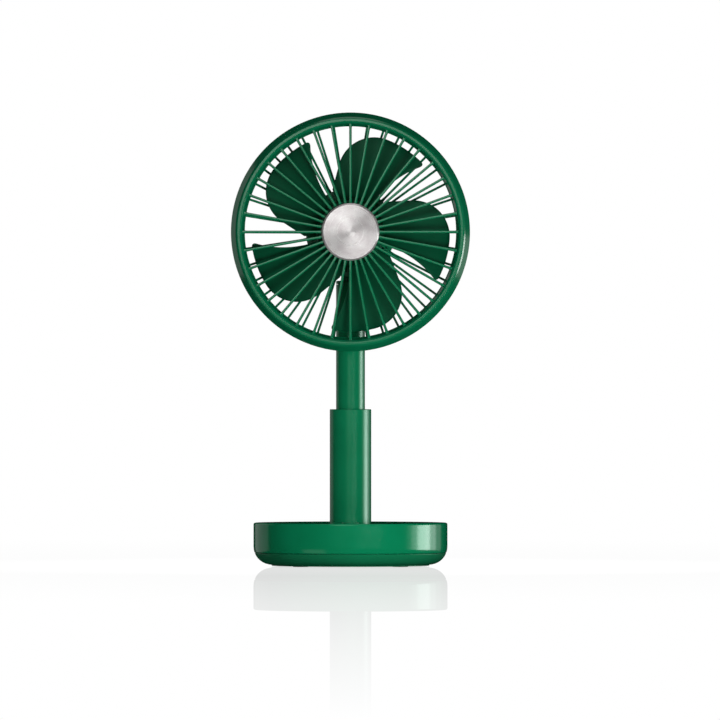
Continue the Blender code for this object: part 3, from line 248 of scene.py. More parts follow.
def new_material(name, values=None):
    """A material with its nodes, its shader, set to these values, and the place on its own object."""
    made = bpy.data.materials.new(name)
    made.use_nodes = True
    tree = made.node_tree
    shader = tree.nodes["Principled BSDF"]
    for key, value in (values or {}).items():
        shader.inputs[key].default_value = value
    return made, tree, shader, node(tree, "TexCoord").outputs["Object"]


def blend(tree, share, first, second):
    """A colour between two others, each a value or a socket to link from."""
    made = node(tree, "Mix", data_type="RGBA")
    tree.links.new(share, made.inputs[MIX_SHARE])
    for number, colour in ((MIX_FIRST, first), (MIX_SECOND, second)):
        if isinstance(colour, bpy.types.NodeSocket):
            tree.links.new(colour, made.inputs[number])
        else:
            made.inputs[number].default_value = (*colour, 1)
    return made.outputs[MIX_RESULT]


def noise(tree, place, scale, detail, rough=0.5):
    inputs = {"Vector": place, "Scale": scale, "Detail": detail, "Roughness": rough}
    return node(tree, "TexNoise", inputs).outputs["Fac"]


def remap(tree, value, from_min, from_max, to_min=0.0, to_max=1.0):
    inputs = {"From Min": from_min, "From Max": from_max, "To Min": to_min, "To Max": to_max}
    return node(tree, "MapRange", {"Value": value, **inputs}).outputs["Result"]


def dress(tree, shader, colour, roughness, grain=None, strength=0.0, depth=FINE_GRAIN):
    """Links a surface's colour, its roughness and, where it has grain, the bump of it."""
    tree.links.new(colour, shader.inputs["Base Color"])
    tree.links.new(roughness, shader.inputs["Roughness"])
    if grain:
        bump = node(tree, "Bump", {"Strength": strength, "Distance": depth, "Height": grain})
        tree.links.new(bump.outputs["Normal"], shader.inputs["Normal"])


def finish(
    name, deep, light, roughness, grain=900.0, grain_strength=0.15, edge=None, specular=0.5,
    tint=(1.0, 1.0, 1.0),
):
    """A moulded or painted surface: two close tints in soft patches, fine grain, and a painted highlight
    that lightens convex edges.
    """
    values = {"Specular IOR Level": specular, "Specular Tint": (*tint, 1)}
    made, tree, shader, place = new_material(name, values)
    soft = noise(tree, place, PATCH_SCALE, 3.0, 0.55)
    colour = blend(tree, remap(tree, soft, 0.3, 0.7), deep, light)
    if edge:
        # painted highlight: convex edges, found by pointiness, are blended towards a lighter tint
        edge_highlight_share = remap(tree, node(tree, "NewGeometry").outputs["Pointiness"], 0.53, 0.62, 0.0, 0.6)
        colour = blend(tree, edge_highlight_share, colour, edge)
    fine = noise(tree, place, grain, 2.0, 0.6)
    dress(tree, shader, colour, remap(tree, fine, 0.3, 0.7, *roughness), fine, grain_strength)
    return made


def spun_finish():
    """Spun aluminium: concentric tool marks about the disc's own Z, with a radial sheen."""
    values = {"Metallic": 0.75, "Anisotropic": 0.85, "Anisotropic Rotation": 0.25}
    made, tree, shader, place = new_material("spun_aluminium", values)
    flat_place = node(tree, "VectorMath", {0: place, 1: (1.0, 1.0, 0.0)}, operation="MULTIPLY").outputs[0]
    radius = node(tree, "VectorMath", {0: flat_place}, operation="LENGTH").outputs["Value"]
    marks = noise(tree, node(tree, "CombineXYZ", {"X": radius}).outputs[0], 2600.0, 3.0, 0.7)
    cloudy = remap(tree, noise(tree, place, 110.0, 2.0), 0.35, 0.65)
    colour = blend(tree, cloudy, (0.66, 0.62, 0.62), (0.80, 0.78, 0.77))
    dress(tree, shader, colour, remap(tree, marks, 0.3, 0.7, 0.24, 0.36), marks, 0.25)
    tangent = node(tree, "Tangent", direction_type="RADIAL", axis="Z")
    tree.links.new(tangent.outputs[0], shader.inputs["Tangent"])
    return made


def brushed_steel(name, dark, bright, roughness):
    """Drawn or stamped steel with fine directional scratches."""
    made, tree, shader, place = new_material(name, {"Metallic": 1.0})
    long = node(tree, "VectorMath", {0: place, 1: (1.0, 1.0, 0.06)}, operation="MULTIPLY").outputs[0]
    scratches = noise(tree, long, 1800.0, 4.0, 0.65)
    colour = blend(tree, remap(tree, scratches, 0.35, 0.65), dark, bright)
    dress(tree, shader, colour, remap(tree, scratches, 0.3, 0.7, *roughness), scratches, 0.2)
    return made


def winding_finish():
    """Enamelled copper wire laid side by side, as bands across the coil."""
    made, tree, shader, place = new_material("copper_windings", {"Metallic": 1.0})
    bands = {"Vector": place, "Scale": 420.0, "Distortion": 1.5, "Detail": 1.0}
    wires = node(tree, "TexWave", bands).outputs["Fac"]
    colour = blend(tree, wires, (0.16, 0.045, 0.018), (0.62, 0.24, 0.10))
    dress(tree, shader, colour, remap(tree, wires, 0.0, 1.0, 0.5, 0.28), wires, 0.8, 0.0002)
    return made


def board_finish():
    """Green solder mask with copper tracks showing through as paler lanes and tinned pads."""
    made, tree, shader, place = new_material("circuit_board")
    lanes = node(
        tree, "TexBrick",
        {
            "Vector": place, "Color1": (0.004, 0.075, 0.025, 1), "Color2": (0.006, 0.10, 0.035, 1),
            "Mortar": (0.02, 0.20, 0.07, 1), "Scale": 260.0, "Mortar Size": 0.03,
        },
        offset=0.37, squash=1.6,
    )
    pads = node(tree, "TexVoronoi", {"Vector": place, "Scale": 330.0})
    pad_share = remap(tree, pads.outputs["Distance"], 0.12, 0.16, 1.0, 0.0)
    colour = blend(tree, pad_share, lanes.outputs["Color"], (0.55, 0.54, 0.50))
    gaps = lanes.outputs["Fac"]
    dress(tree, shader, colour, remap(tree, gaps, 0.0, 1.0, 0.32, 0.5), gaps, 0.3, 0.0001)
    return made


def lens_finish():
    """Milky light guide: clouded, slightly see-through acrylic."""
    made, tree, shader, place = new_material("lens", {"Transmission Weight": 0.35})
    cloud = noise(tree, place, 1500.0, 2.0)
    colour = blend(tree, cloud, (0.62, 0.66, 0.62), (0.86, 0.88, 0.85))
    dress(tree, shader, colour, remap(tree, cloud, 0.3, 0.7, 0.12, 0.24))
    return made


MINT = (0.72, 1.0, 0.86)
GRILLE_TINT = (0.95, 1.0, 0.95)
# edge= gives the lighter tint of the painted highlight on convex edges
GREEN_GLOSS = finish(
    "green_gloss_plastic", (0.0015, 0.175, 0.070), (0.0020, 0.200, 0.082), (0.13, 0.17),
    edge=(0.004, 0.24, 0.105), tint=MINT,
)
# Painted shade: a darker copy of the gloss green, used on the front grille to stand in for the dimmer light
# on the head.
GREEN_GLOSS_SHADED = finish(
    "green_gloss_painted_shade", (0.0015, 0.138, 0.056), (0.0022, 0.158, 0.066), (0.14, 0.19),
    edge=(0.004, 0.18, 0.08), tint=GRILLE_TINT,
)
GREEN_SATIN = finish(
    "green_satin_plastic", (0.0015, 0.150, 0.060), (0.0020, 0.172, 0.070), (0.36, 0.46),
    grain=1500.0, grain_strength=0.3, edge=(0.004, 0.21, 0.09), tint=MINT,
)
GREEN_TUBE = finish(
    "green_lacquered_tube", (0.0015, 0.165, 0.066), (0.0025, 0.195, 0.080), (0.20, 0.25),
    grain=700.0, tint=MINT,
)
# Painted shade: the blade green is darkened to stand in for the shade the blades lie in behind the grille.
GREEN_BLADE_SHADED = finish(
    "green_blade_plastic", (0.0006, 0.052, 0.021), (0.0009, 0.068, 0.028), (0.40, 0.50),
    grain=1300.0, grain_strength=0.25, specular=0.2, tint=MINT,
)
SPUN = spun_finish()
STEEL = brushed_steel("steel", (0.42, 0.42, 0.43), (0.60, 0.60, 0.61), (0.28, 0.42))
DARK_STEEL = brushed_steel("laminated_steel", (0.08, 0.08, 0.085), (0.17, 0.17, 0.18), (0.42, 0.6))
COPPER = winding_finish()
BOARD = board_finish()
LENS = lens_finish()
DARK_PLASTIC = finish(
    "dark_plastic", (0.012, 0.016, 0.014), (0.022, 0.028, 0.025), (0.45, 0.6),
    grain=1800.0, grain_strength=0.35,
)
RUBBER = finish(
    "rubber", (0.010, 0.010, 0.010), (0.020, 0.020, 0.019), (0.7, 0.85), grain=1100.0, grain_strength=0.5,
    specular=0.3,
)
CELL_WRAP = finish("cell_wrap", (0.012, 0.05, 0.19), (0.02, 0.08, 0.26), (0.3, 0.42), grain=500.0)


# ------------ mesh helpers


def filleted(corners, closed=False):
    """Outline through (x, y, radius) corners, each rounded by an arc of its radius."""
    points = []
    count = len(corners)
    for i, (x, y, radius) in enumerate(corners):
        here = Vector((x, y))
        if radius <= 0 or (not closed and i in (0, count - 1)):
            points.append(tuple(here))
            continue
        before = (Vector(corners[i - 1][:2]) - here).normalized()
        after = (Vector(corners[(i + 1) % count][:2]) - here).normalized()
        half = before.angle(after) / 2
        centre = here + (before + after).normalized() * (radius / math.sin(half))
        start = here + before * (radius / math.tan(half)) - centre
        end = here + after * (radius / math.tan(half)) - centre
        sweep = math.atan2(start.x * end.y - start.y * end.x, start.dot(end))
        steps = max(2, math.ceil(abs(sweep) / ARC_STEP))
        for k in range(steps + 1):
            turn = Matrix.Rotation(sweep * k / steps, 2)
            points.append(tuple(centre + turn @ start))
    return points


def rounded_rectangle(wide, tall, radius):
    x, y = wide / 2, tall / 2
    return filleted([(-x, -y, radius), (x, -y, radius), (x, y, radius), (-x, y, radius)], closed=True)


def sleeve(outer, inner, bottom, top, rounds):
    """Closed profile of a plain tube, its corners rounded in turn from the outer bottom one."""
    corners = [(outer, bottom), (outer, top), (inner, top), (inner, bottom)]
    return filleted([(*corner, radius) for corner, radius in zip(corners, rounds)], closed=True)


def circle(radius, steps):
    angles = [math.tau * k / steps for k in range(steps)]
    return [(radius * math.cos(a), radius * math.sin(a)) for a in angles]


def arc(centre, radius, start_deg, end_deg):
    steps = max(2, math.ceil(abs(math.radians(end_deg - start_deg)) / ARC_STEP))
    angles = [math.radians(start_deg + (end_deg - start_deg) * k / steps) for k in range(steps + 1)]
    return [(centre[0] + radius * math.cos(a), centre[1] + radius * math.sin(a)) for a in angles]


def bridge(form, first, second):
    """Adds the faces between two closed rings of vertices, either of which may be a single one."""
    count = max(len(first), len(second))
    if count == 1:
        return
    for k in range(count):
        after = (k + 1) % count
        order = ((first, k), (first, after), (second, after), (second, k))
        corners = [ring[i % len(ring)] for ring, i in order]
        form.faces.new(list(dict.fromkeys(corners)))


def add_loft(form, rings):
    """Adds a bar through rings of vertices, with a face at each end."""
    for first, second in zip(rings, rings[1:]):
        bridge(form, first, second)
    form.faces.new(rings[0][::-1])
    form.faces.new(rings[-1])


def add_turned(form, profile, steps=STEPS, closed=False):
    """Adds a profile of (radius, height) points turned about Z."""
    rings = []
    for radius, height in profile:
        spots = circle(radius, steps) if radius > 1e-7 else [(0, 0)]
        rings.append([form.verts.new((*spot, height)) for spot in spots])
    if closed:
        rings.append(rings[0])
    for first, second in zip(rings, rings[1:]):
        bridge(form, first, second)


def add_prism(form, outline, bottom, top, place=Matrix()):
    """Adds a closed outline run from bottom to top along Z, then moved by place."""
    add_loft(form, [[form.verts.new(place @ Vector((x, y, z))) for x, y in outline] for z in (bottom, top)])


def add_box(form, corner, far_corner):
    (x0, y0, z0), (x1, y1, z1) = corner, far_corner
    add_prism(form, [(x0, y0), (x1, y0), (x1, y1), (x0, y1)], z0, z1)


def add_spoke(form, stations, angle):
    """Adds one spoke through (radius, depth, half width, half thickness) stations, turned by angle."""
    turn = Matrix.Rotation(angle, 4, "Z")
    rings = []
    for radius, depth, half_width, half_thickness in stations:
        ring = []
        for k in range(SPOKE_SIDES):
            a = math.tau * (k + 0.5) / SPOKE_SIDES
            side = math.copysign(abs(math.cos(a)) ** SPOKE_SQUARE, math.cos(a)) * half_width
            rise = math.copysign(abs(math.sin(a)) ** SPOKE_SQUARE, math.sin(a)) * half_thickness
            ring.append(form.verts.new(turn @ Vector((radius, side, depth + rise))))
        rings.append(ring)
    add_loft(form, rings)


def add_object(name, data):
    made = bpy.data.objects.new(name, data)
    bpy.context.scene.collection.objects.link(made)
    return made


def form_mesh(name, form):
    mesh = bpy.data.meshes.new(name)
    bmesh.ops.remove_doubles(form, verts=form.verts, dist=1e-7)
    bmesh.ops.recalc_face_normals(form, faces=form.faces)
    form.to_mesh(mesh)
    form.free()
    return mesh


def smooth(piece):
    piece.data.shade_smooth()
    piece.data.set_sharp_from_angle(angle=SMOOTH_ANGLE)
    even = piece.modifiers.new("even_normals", "WEIGHTED_NORMAL")
    even.keep_sharp = True


def soften(piece, width):
    """Rounds the sharp edges of a cut or extruded piece."""
    bevel = piece.modifiers.new("soft_edges", "BEVEL")
    bevel.width = width
    bevel.segments = 3
    bevel.limit_method = "ANGLE"
    bevel.angle_limit = SOFTEN_ANGLE
    bevel.use_clamp_overlap = False
    bevel.harden_normals = True


def piece_of(stands_for, form, material, body, place=Matrix(), edge_round=0.0):
    """Makes a finished piece that stands for a CAD node and rides on its body."""
    mesh = form if isinstance(form, bpy.types.Mesh) else form_mesh(stands_for + "_fine", form)
    piece = add_object(stands_for + "_fine", mesh)
    piece.matrix_world = place
    if not mesh.materials:
        mesh.materials.append(material)
    if edge_round:
        soften(piece, edge_round)
    smooth(piece)
    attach(piece, body)
    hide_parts(stands_for)
    return piece


def turned_form(profile, steps=STEPS, closed=False):
    form = bmesh.new()
    add_turned(form, profile, steps, closed)
    return form


def carved(form, cutters):
    """The form's mesh with each cutter form taken out of it."""
    piece = add_object("uncut", form_mesh("uncut", form))
    tools = [add_object("cutter", form_mesh("cutter", cutter)) for cutter in cutters]
    for tool in tools:
        change = piece.modifiers.new("carve", "BOOLEAN")
        change.operation = "DIFFERENCE"
        change.object = tool
    bpy.context.view_layer.update()
    graph = bpy.context.evaluated_depsgraph_get()
    result = bpy.data.meshes.new_from_object(piece.evaluated_get(graph))
    result.materials.clear()
    for spare in [piece, *tools]:
        bpy.data.objects.remove(spare)
    return result


def post(x, y, radius, bottom, top, steps=SMALL_STEPS):
    """A round cutter or pin standing at (x, y)."""
    form = bmesh.new()
    add_turned(form, [(0, top), (radius, top), (radius, bottom), (0, bottom)], steps)
    bmesh.ops.translate(form, verts=form.verts, vec=(x, y, 0))
    return form


def box_form(corner, far_corner):
    form = bmesh.new()
    add_box(form, corner, far_corner)
    return form


# ------------ camera, floor and lights


def make_camera():
    """Long lens, level with the middle of the fan and just to the right of it."""
    data = bpy.data.cameras.new("camera")
    data.sensor_width = 36.0
    data.lens = data.sensor_width * -CAMERA_PLACE[1] / FRAME_WIDTH
    data.clip_end = 60.0
    camera = add_object("camera", data)
    camera.location = CAMERA_PLACE
    camera.rotation_euler = (math.pi / 2, 0, 0)
    bpy.context.scene.camera = camera


def seen_directly(tree):
    """1 for camera, glossy and transmission rays, 0 for the rays that light the object."""
    path = node(tree, "LightPath")
    share = path.outputs["Is Camera Ray"]
    for kind in ("Is Glossy Ray", "Is Transmission Ray"):
        share = node(tree, "Math", {0: share, 1: path.outputs[kind]}, operation="MAXIMUM").outputs[0]
    return share


def make_world():
    world = bpy.data.worlds.new("studio")
    bpy.context.scene.world = world
    world.use_nodes = True
    tree = world.node_tree
    tree.nodes.clear()
    strength = remap(tree, seen_directly(tree), 0.0, 1.0, AMBIENT, 1.0)
    back = node(tree, "Background", {"Color": (1, 1, 1, 1), "Strength": strength})
    out = node(tree, "OutputWorld")
    tree.links.new(back.outputs[0], out.inputs["Surface"])


def stage_sheet(name, rows, material):
    """A one-sided stage surface from rows of points."""
    form = bmesh.new()
    made = [[form.verts.new(p) for p in row] for row in rows]
    for first, second in zip(made, made[1:]):
        for k in range(len(first) - 1):
            form.faces.new((first[k], first[k + 1], second[k + 1], second[k]))
    mesh = bpy.data.meshes.new(name)
    form.to_mesh(mesh)
    form.free()
    sheet = add_object(name, mesh)
    mesh.materials.append(material)
    return sheet


def make_floor():
    """White table: takes a soft shadow near the fan and a faint mirror image that fades with distance."""
    made, tree, shader, place = new_material("white_table")
    tree.nodes.remove(shader)
    out = tree.nodes["Material Output"]
    away = node(tree, "VectorMath", {0: place}, operation="LENGTH").outputs["Value"]
    matt = node(tree, "BsdfDiffuse", {"Color": remap(tree, away, *MATT_FADE, FLOOR_MATT, 0.0)})
    near_glow = remap(tree, away, *GLOW_FADE, FLOOR_GLOW, 1.0)
    glow_seen = node(tree, "Math", {0: near_glow, 1: seen_directly(tree)}, operation="MULTIPLY").outputs[0]
    glow_strength = node(tree, "Math", {0: glow_seen, 1: AMBIENT}, operation="MAXIMUM").outputs[0]
    glow = node(tree, "Emission", {"Color": (1, 1, 1, 1), "Strength": glow_strength})
    plain = node(tree, "AddShader", {0: matt.outputs[0], 1: glow.outputs[0]})
    mirror = node(tree, "BsdfGlossy", {"Color": (1, 1, 1, 1), "Roughness": 0.0})
    share = remap(tree, away, *MIRROR_FADE, MIRROR_SHARE, 0.0)
    both = node(tree, "MixShader", {0: share, 1: plain.outputs[0], 2: mirror.outputs[0]})
    tree.links.new(both.outputs[0], out.inputs["Surface"])
    sides = (-TABLE_HALF, TABLE_HALF)
    corners = [[(x, y, -TABLE_DROP) for x in sides] for y in sides]
    stage_sheet("table", corners, made).visible_glossy = False


def make_black_cards():
    """Black cards below and all round, seen only in the fan's own reflections, so its greens stay deep.

    The table's mirror image is perfectly sharp, so its rays are singular and pass through the cards.
    """
    black = {"Base Color": (0.003, 0.003, 0.003, 1), "Roughness": 1.0, "Specular IOR Level": 0.0}
    made, tree, shader, _ = new_material("black_card", black)
    sharp = node(tree, "LightPath").outputs["Is Singular Ray"]
    clear = node(tree, "BsdfTransparent")
    either = node(tree, "MixShader", {0: sharp, 1: shader.outputs[0], 2: clear.outputs[0]})
    tree.links.new(either.outputs[0], tree.nodes["Material Output"].inputs["Surface"])
    bottom, top = CARD_HEIGHTS
    rows = []
    for radius, height in ((CARD_RADIUS, top), (CARD_RADIUS, bottom), (0.0, bottom)):
        spots = circle(radius, CARD_STEPS)
        rows.append([(x, y, height) for x, y in spots + spots[:1]])
    card = stage_sheet("black_cards", rows, made)
    for ray in ("camera", "diffuse", "transmission", "volume_scatter", "shadow"):
        setattr(card, "visible_" + ray, False)


def add_lamp(name, azimuth_deg, elevation_deg, distance, size, radiance, seen_in):
    """A soft rectangular lamp aimed at the fan; azimuth 0 is the front and 90 the right-hand side."""
    data = bpy.data.lights.new(name, "AREA")
    data.shape = "RECTANGLE"
    data.size, data.size_y = size
    data.energy = radiance * math.pi * size[0] * size[1]
    lamp = add_object(name, data)
    azimuth, elevation = math.radians(azimuth_deg), math.radians(elevation_deg)
    level = distance * math.cos(elevation)
    aim = Vector((0, 0, LAMP_AIM))
    lamp.location = aim + Vector(
        (level * math.sin(azimuth), -level * math.cos(azimuth), distance * math.sin(elevation))
    )
    lamp.rotation_euler = (aim - lamp.location).to_track_quat("-Z", "Y").to_euler()
    lamp.visible_camera = False
    lamp.visible_diffuse = seen_in == "matt"
    lamp.visible_glossy = seen_in == "gloss"


def make_lights():
    for lamp in LAMPS:
        add_lamp(*lamp)


# ------------ base


def base_edge(inset, from_height, to_height):
    """Profile of the base's rounded lower edge between two heights."""
    radius = BASE_EDGE_ROUND - inset
    centre = (BASE_RADIUS - BASE_EDGE_ROUND, BASE_UNDERSIDE + BASE_EDGE_ROUND)
    start = math.degrees(math.asin(max(-1, (from_height - centre[1]) / radius)))
    end = math.degrees(math.asin(max(-1, (to_height - centre[1]) / radius)))
    return arc(centre, radius, start, end)


def make_shell():
    """The base's upper moulding, with its holes and the recess of the charging port."""
    inner_top = BASE_TOP - WALL
    shoulder = BASE_UNDERSIDE + BASE_EDGE_ROUND
    seam = BASE_SEAM + GAP / 2
    profile = [(0, BASE_TOP)]
    profile += arc((BASE_RADIUS - BASE_TOP_ROUND, BASE_TOP - BASE_TOP_ROUND), BASE_TOP_ROUND, 90, 0)
    profile += base_edge(0, shoulder, seam + SEAM_STEP)
    profile += base_edge(SEAM_STEP, seam, seam + GAP / 4)[:1]
    profile += base_edge(WALL, seam, shoulder)
    profile += [(BASE_RADIUS - WALL, inner_top), (0, inner_top)]
    port = rounded_rectangle(*PORT_MOUTH, PORT_CORNER)
    port_place = Matrix.Translation((0, 0, PORT_HEIGHT)) @ TO_FRONT
    mouth = bmesh.new()
    add_prism(mouth, port, -BASE_RADIUS - WALL, -BASE_RADIUS + PORT_DEPTH, port_place)
    above = (inner_top - WALL, BASE_TOP + WALL)
    mesh = carved(
        turned_form(profile, FINE_STEPS),
        [
            mouth,
            post(0, COLUMN_Y, high("outer_tube", "x") + GAP, *above, STEPS),
            post(0, middle("power_button", "y"), BUTTON_HOLE, *above),
            post(0, middle("indicator_lens", "y"), LENS_RADIUS + GAP, *above, 16),
        ],
    )
    piece_of("base_shell", mesh, GREEN_GLOSS, "base", edge_round=0.00035)
    make_port_tunnel(port, port_place)


def make_tray():
    """The base's lower moulding: a thin rim underneath, and recesses for the feet and two screws."""
    flat_radius = BASE_RADIUS - BASE_EDGE_ROUND
    floor_top = BASE_UNDERSIDE + WALL
    seam = BASE_SEAM - GAP / 2
    profile = [(0, floor_top), (flat_radius - WALL, floor_top)]
    profile += base_edge(WALL, floor_top + GAP, seam)
    profile += base_edge(SEAM_STEP, seam - GAP / 4, seam)[-1:]
    profile += base_edge(0, seam - SEAM_STEP, BASE_UNDERSIDE)
    rim = flat_radius - BASE_RIM_WIDTH
    profile += [(flat_radius, BASE_RIM_BOTTOM), (rim, BASE_RIM_BOTTOM)]
    profile += [(rim, BASE_UNDERSIDE), (0, BASE_UNDERSIDE)]
    recesses = []
    for foot in FEET:
        spot = (middle(foot, "x"), middle(foot, "y"))
        recesses.append(post(*spot, half_size(foot, "x") + GAP, -WALL, FOOT_RECESS_TOP))
    radius, top = SCREW_RECESS
    for side in ("left", "right"):
        screw = f"socket_screw_{side}"
        recesses.append(post(middle(screw, "x"), middle(screw, "y"), radius, -WALL, top, 24))
    mesh = carved(turned_form(profile, FINE_STEPS), recesses)
    piece_of("base_tray", mesh, GREEN_SATIN, "base", edge_round=0.0003)


def make_port_tunnel(port, port_place):
    """The recess walls behind the charging port's mouth, on the same moulding as the shell."""
    outer = [(x * 1.25, y * 1.35) for x, y in port]
    near, far = -BASE_RADIUS + WALL * 0.6, -BASE_RADIUS + PORT_DEPTH
    form = bmesh.new()
    rings = []
    for outline, z in ((port, near), (port, far), (outer, far), (outer, near)):
        rings.append([form.verts.new(port_place @ Vector((x, y, z))) for x, y in outline])
    for first, second in zip(rings, rings[1:] + rings[:1]):
        bridge(form, first, second)
    tunnel = add_object("port_tunnel", form_mesh("port_tunnel", form))
    tunnel.data.materials.append(GREEN_SATIN)
    smooth(tunnel)
    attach(tunnel, "base")


def make_feet():
    """Round rubber feet with a shallow groove and a shallow recess in the sole."""
    for name in FEET:
        radius, top = half_size(name, "x"), high(name, "z")
        profile = filleted([(0, top, 0), (radius, top, 0.0002), (radius, 0, 0.0005), (radius * 0.8, 0, 0)])
        for share, height in ((0.78, 0), (0.72, 1), (0.62, 1), (0.56, 0), (0.4, 0), (0.34, 1), (0, 1)):
            profile.append((radius * share, FOOT_GROOVE * height))
        piece_of(name, turned_form(profile, SMALL_STEPS), RUBBER, "base", standing_at(name))


def make_button():
    name = "power_button"
    top, bottom = high(name, "z"), low(name, "z")
    rim = half_size(name, "x")
    flange = BASE_TOP - WALL - GAP
    dish = ((0, 1), (0.35, 0.9), (0.7, 0.35))
    profile = [(BUTTON_RADIUS * share, top - BUTTON_DISH * depth) for share, depth in dish]
    profile += filleted(
        [(BUTTON_RADIUS * 0.8, top, 0), (BUTTON_RADIUS, top, 0.0005), (BUTTON_RADIUS, flange, 0),
         (rim, flange, 0)]
    )
    profile += [(rim, bottom), (0, bottom)]
    form = turned_form(profile, STEPS)
    piece_of(name, form, GREEN_SATIN, "button", standing_at(name))


def make_lens():
    name = "indicator_lens"
    top, bottom = high(name, "z"), low(name, "z")
    rim = half_size(name, "x")
    flange = BASE_TOP - WALL - GAP
    profile = [(0, top), (LENS_RADIUS * 0.6, top - 0.0001), (LENS_RADIUS, top - 0.0004)]
    profile += [(LENS_RADIUS, flange), (rim, flange), (rim, bottom), (0, bottom)]
    piece_of(name, turned_form(profile, SMALL_STEPS), LENS, "base", standing_at(name))


def make_socket():
    """The charging socket: a pressed steel shell open to the back, with its tongue inside."""
    name = "charge_socket"
    deep = high(name, "y") - low(name, "y")
    wide, tall = high(name, "x") * 2, high(name, "z") - low(name, "z")
    wall = SOCKET_WALL
    outer = rounded_rectangle(wide, tall, tall * 0.49)
    inner = [(x * (1 - 2 * wall / wide), y * (1 - 2 * wall / tall)) for x, y in outer]
    form = bmesh.new()
    rings = []
    for outline, depth in ((outer, deep), (outer, 0), (inner, 0), (inner, deep - 2 * wall)):
        rings.append([form.verts.new((x, y, depth)) for x, y in outline])
    add_loft(form, rings)
    add_box(form, (-wide / 3, -0.0004, 0.0009), (wide / 3, 0.0004, deep - wall))
    place = Matrix.Translation((0, high(name, "y"), middle(name, "z"))) @ TO_FRONT
    piece_of(name, form, STEEL, "base", place)


# ------------ column and hinge


def make_column():
    """Two tubes that slide in each other, a bush in the lower one's mouth, a shoe under the upper one."""
    outer, inner, bush = (high(name, "x") for name in ("outer_tube", "inner_tube", "guide_bush"))
    mouth = high("outer_tube", "z")
    lacquer, plastic = (GREEN_TUBE, "green_tube"), (DARK_PLASTIC, "dark_plastic")
    # name, body, finish, radius, bore, top where a fit sets it, rounds in tenths of a millimetre, steps
    tubes = [
        ("outer_tube", "base", lacquer, outer, outer - OUTER_TUBE_WALL, mouth, (2, 6, 3, 2), FINE_STEPS),
        ("guide_bush", "base", plastic, bush, inner + GAP, mouth - GAP, (3, 4, 6, 3), STEPS),
        ("inner_tube", "mast", lacquer, inner, inner - INNER_TUBE_WALL, None, (2, 3, 2, 2), STEPS),
        ("slide_shoe", "mast", plastic, bush, inner + GAP, None, (6, 6, 3, 3), STEPS),
    ]
    for name, body, (material, slot), radius, bore, top, rounds, steps in tubes:
        rounds = [tenths * TENTH for tenths in rounds]
        profile = sleeve(radius, bore, low(name, "z"), top or high(name, "z"), rounds)
        piece_of(name, turned_form(profile, steps, True), material, body, COLUMN)


def make_lead():
    """The lead inside the column, wound in an open coil."""
    name = "lead_coil"
    bottom, top = low(name, "z"), high(name, "z")
    coil = high(name, "x") - LEAD_WIRE
    turns = (top - bottom - 2 * LEAD_WIRE) / LEAD_PITCH
    form = bmesh.new()
    rings = []
    for i in range(int(turns * LEAD_STEPS) + 1):
        a = math.tau * i / LEAD_STEPS
        out = Vector((math.cos(a), math.sin(a), 0))
        centre = out * coil + Vector((0, 0, bottom + LEAD_WIRE + LEAD_PITCH * i / LEAD_STEPS))
        spots = circle(LEAD_WIRE, LEAD_SIDES)
        rings.append([form.verts.new(centre + out * across + Vector((0, 0, up))) for across, up in spots])
    add_loft(form, rings)
    piece = piece_of(name, form, RUBBER, "base", COLUMN)
    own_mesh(piece)


def make_neck():
    """The block in the mast's top: a plug, a collar and the hinge's tongue, with a washer on each side."""
    name = "neck_block"
    seat = high("inner_tube", "z")
    bottom, radius = low(name, "z"), high(name, "x")
    collar_top = seat + COLLAR_HEIGHT
    plug = radius - 0.0018
    profile = [(0, collar_top)]
    profile += filleted(
        [(0.008, collar_top, 0), (radius, collar_top, 0.0010), (radius, seat + GAP, 0.0002),
         (plug, seat + GAP, 0.0), (plug, bottom, 0.0008), (0, bottom, 0)]
    )
    form = turned_form(profile, STEPS)
    outline = [(-HINGE_BARREL, collar_top - GAP), (HINGE_BARREL, collar_top - GAP)]
    outline += arc((0, HINGE_Z), HINGE_BARREL, 0, 180)
    sideways = Matrix.Rotation(math.pi / 2, 4, "Z") @ TO_FRONT
    add_prism(form, outline, -TONGUE_HALF, TONGUE_HALF, sideways)
    piece_of(name, form, GREEN_SATIN, "mast", COLUMN, edge_round=0.0005)
    for side in ("left", "right"):
        washer = f"friction_washer_{side}"
        near, far = low(washer, "x"), high(washer, "x")
        ring = sleeve(WASHER_RADIUS, PIN_RADIUS + GAP, near, far, (0.0002, 0.0002, 0, 0))
        piece_of(washer, turned_form(ring, STEPS, True), DARK_PLASTIC, "mast", ACROSS)


def make_pin():
    """The hinge pin, with a hexagon socket in its head, and the nut on its other end."""
    name = "hinge_pin"
    left, right = low(name, "x"), high(name, "x")
    head_radius = half_size(name, "z")
    head_right = left + 0.0026
    profile = filleted(
        [(0, right, 0), (PIN_RADIUS, right, 0.0005), (PIN_RADIUS, head_right, 0.0),
         (head_radius, head_right, 0.0003), (head_radius, left, 0.0009), (0, left, 0)]
    )
    socket = bmesh.new()
    add_prism(socket, circle(PIN_SOCKET, 6), left - WALL, left + 0.0016)
    mesh = carved(turned_form(profile, SMALL_STEPS), [socket])
    piece_of(name, mesh, STEEL, "mast", ACROSS)
    name = "hinge_nut"
    near, far = low(name, "x"), high(name, "x")
    mesh = nut_mesh(half_size(name, "z"), PIN_RADIUS + GAP, near, far)
    piece_of(name, mesh, STEEL, "mast", ACROSS, edge_round=0.0003)


def nut_mesh(across, bore, near, far):
    form = bmesh.new()
    add_prism(form, circle(across, 6), near, far)
    return carved(form, [post(0, 0, bore, near - WALL, far + WALL)])


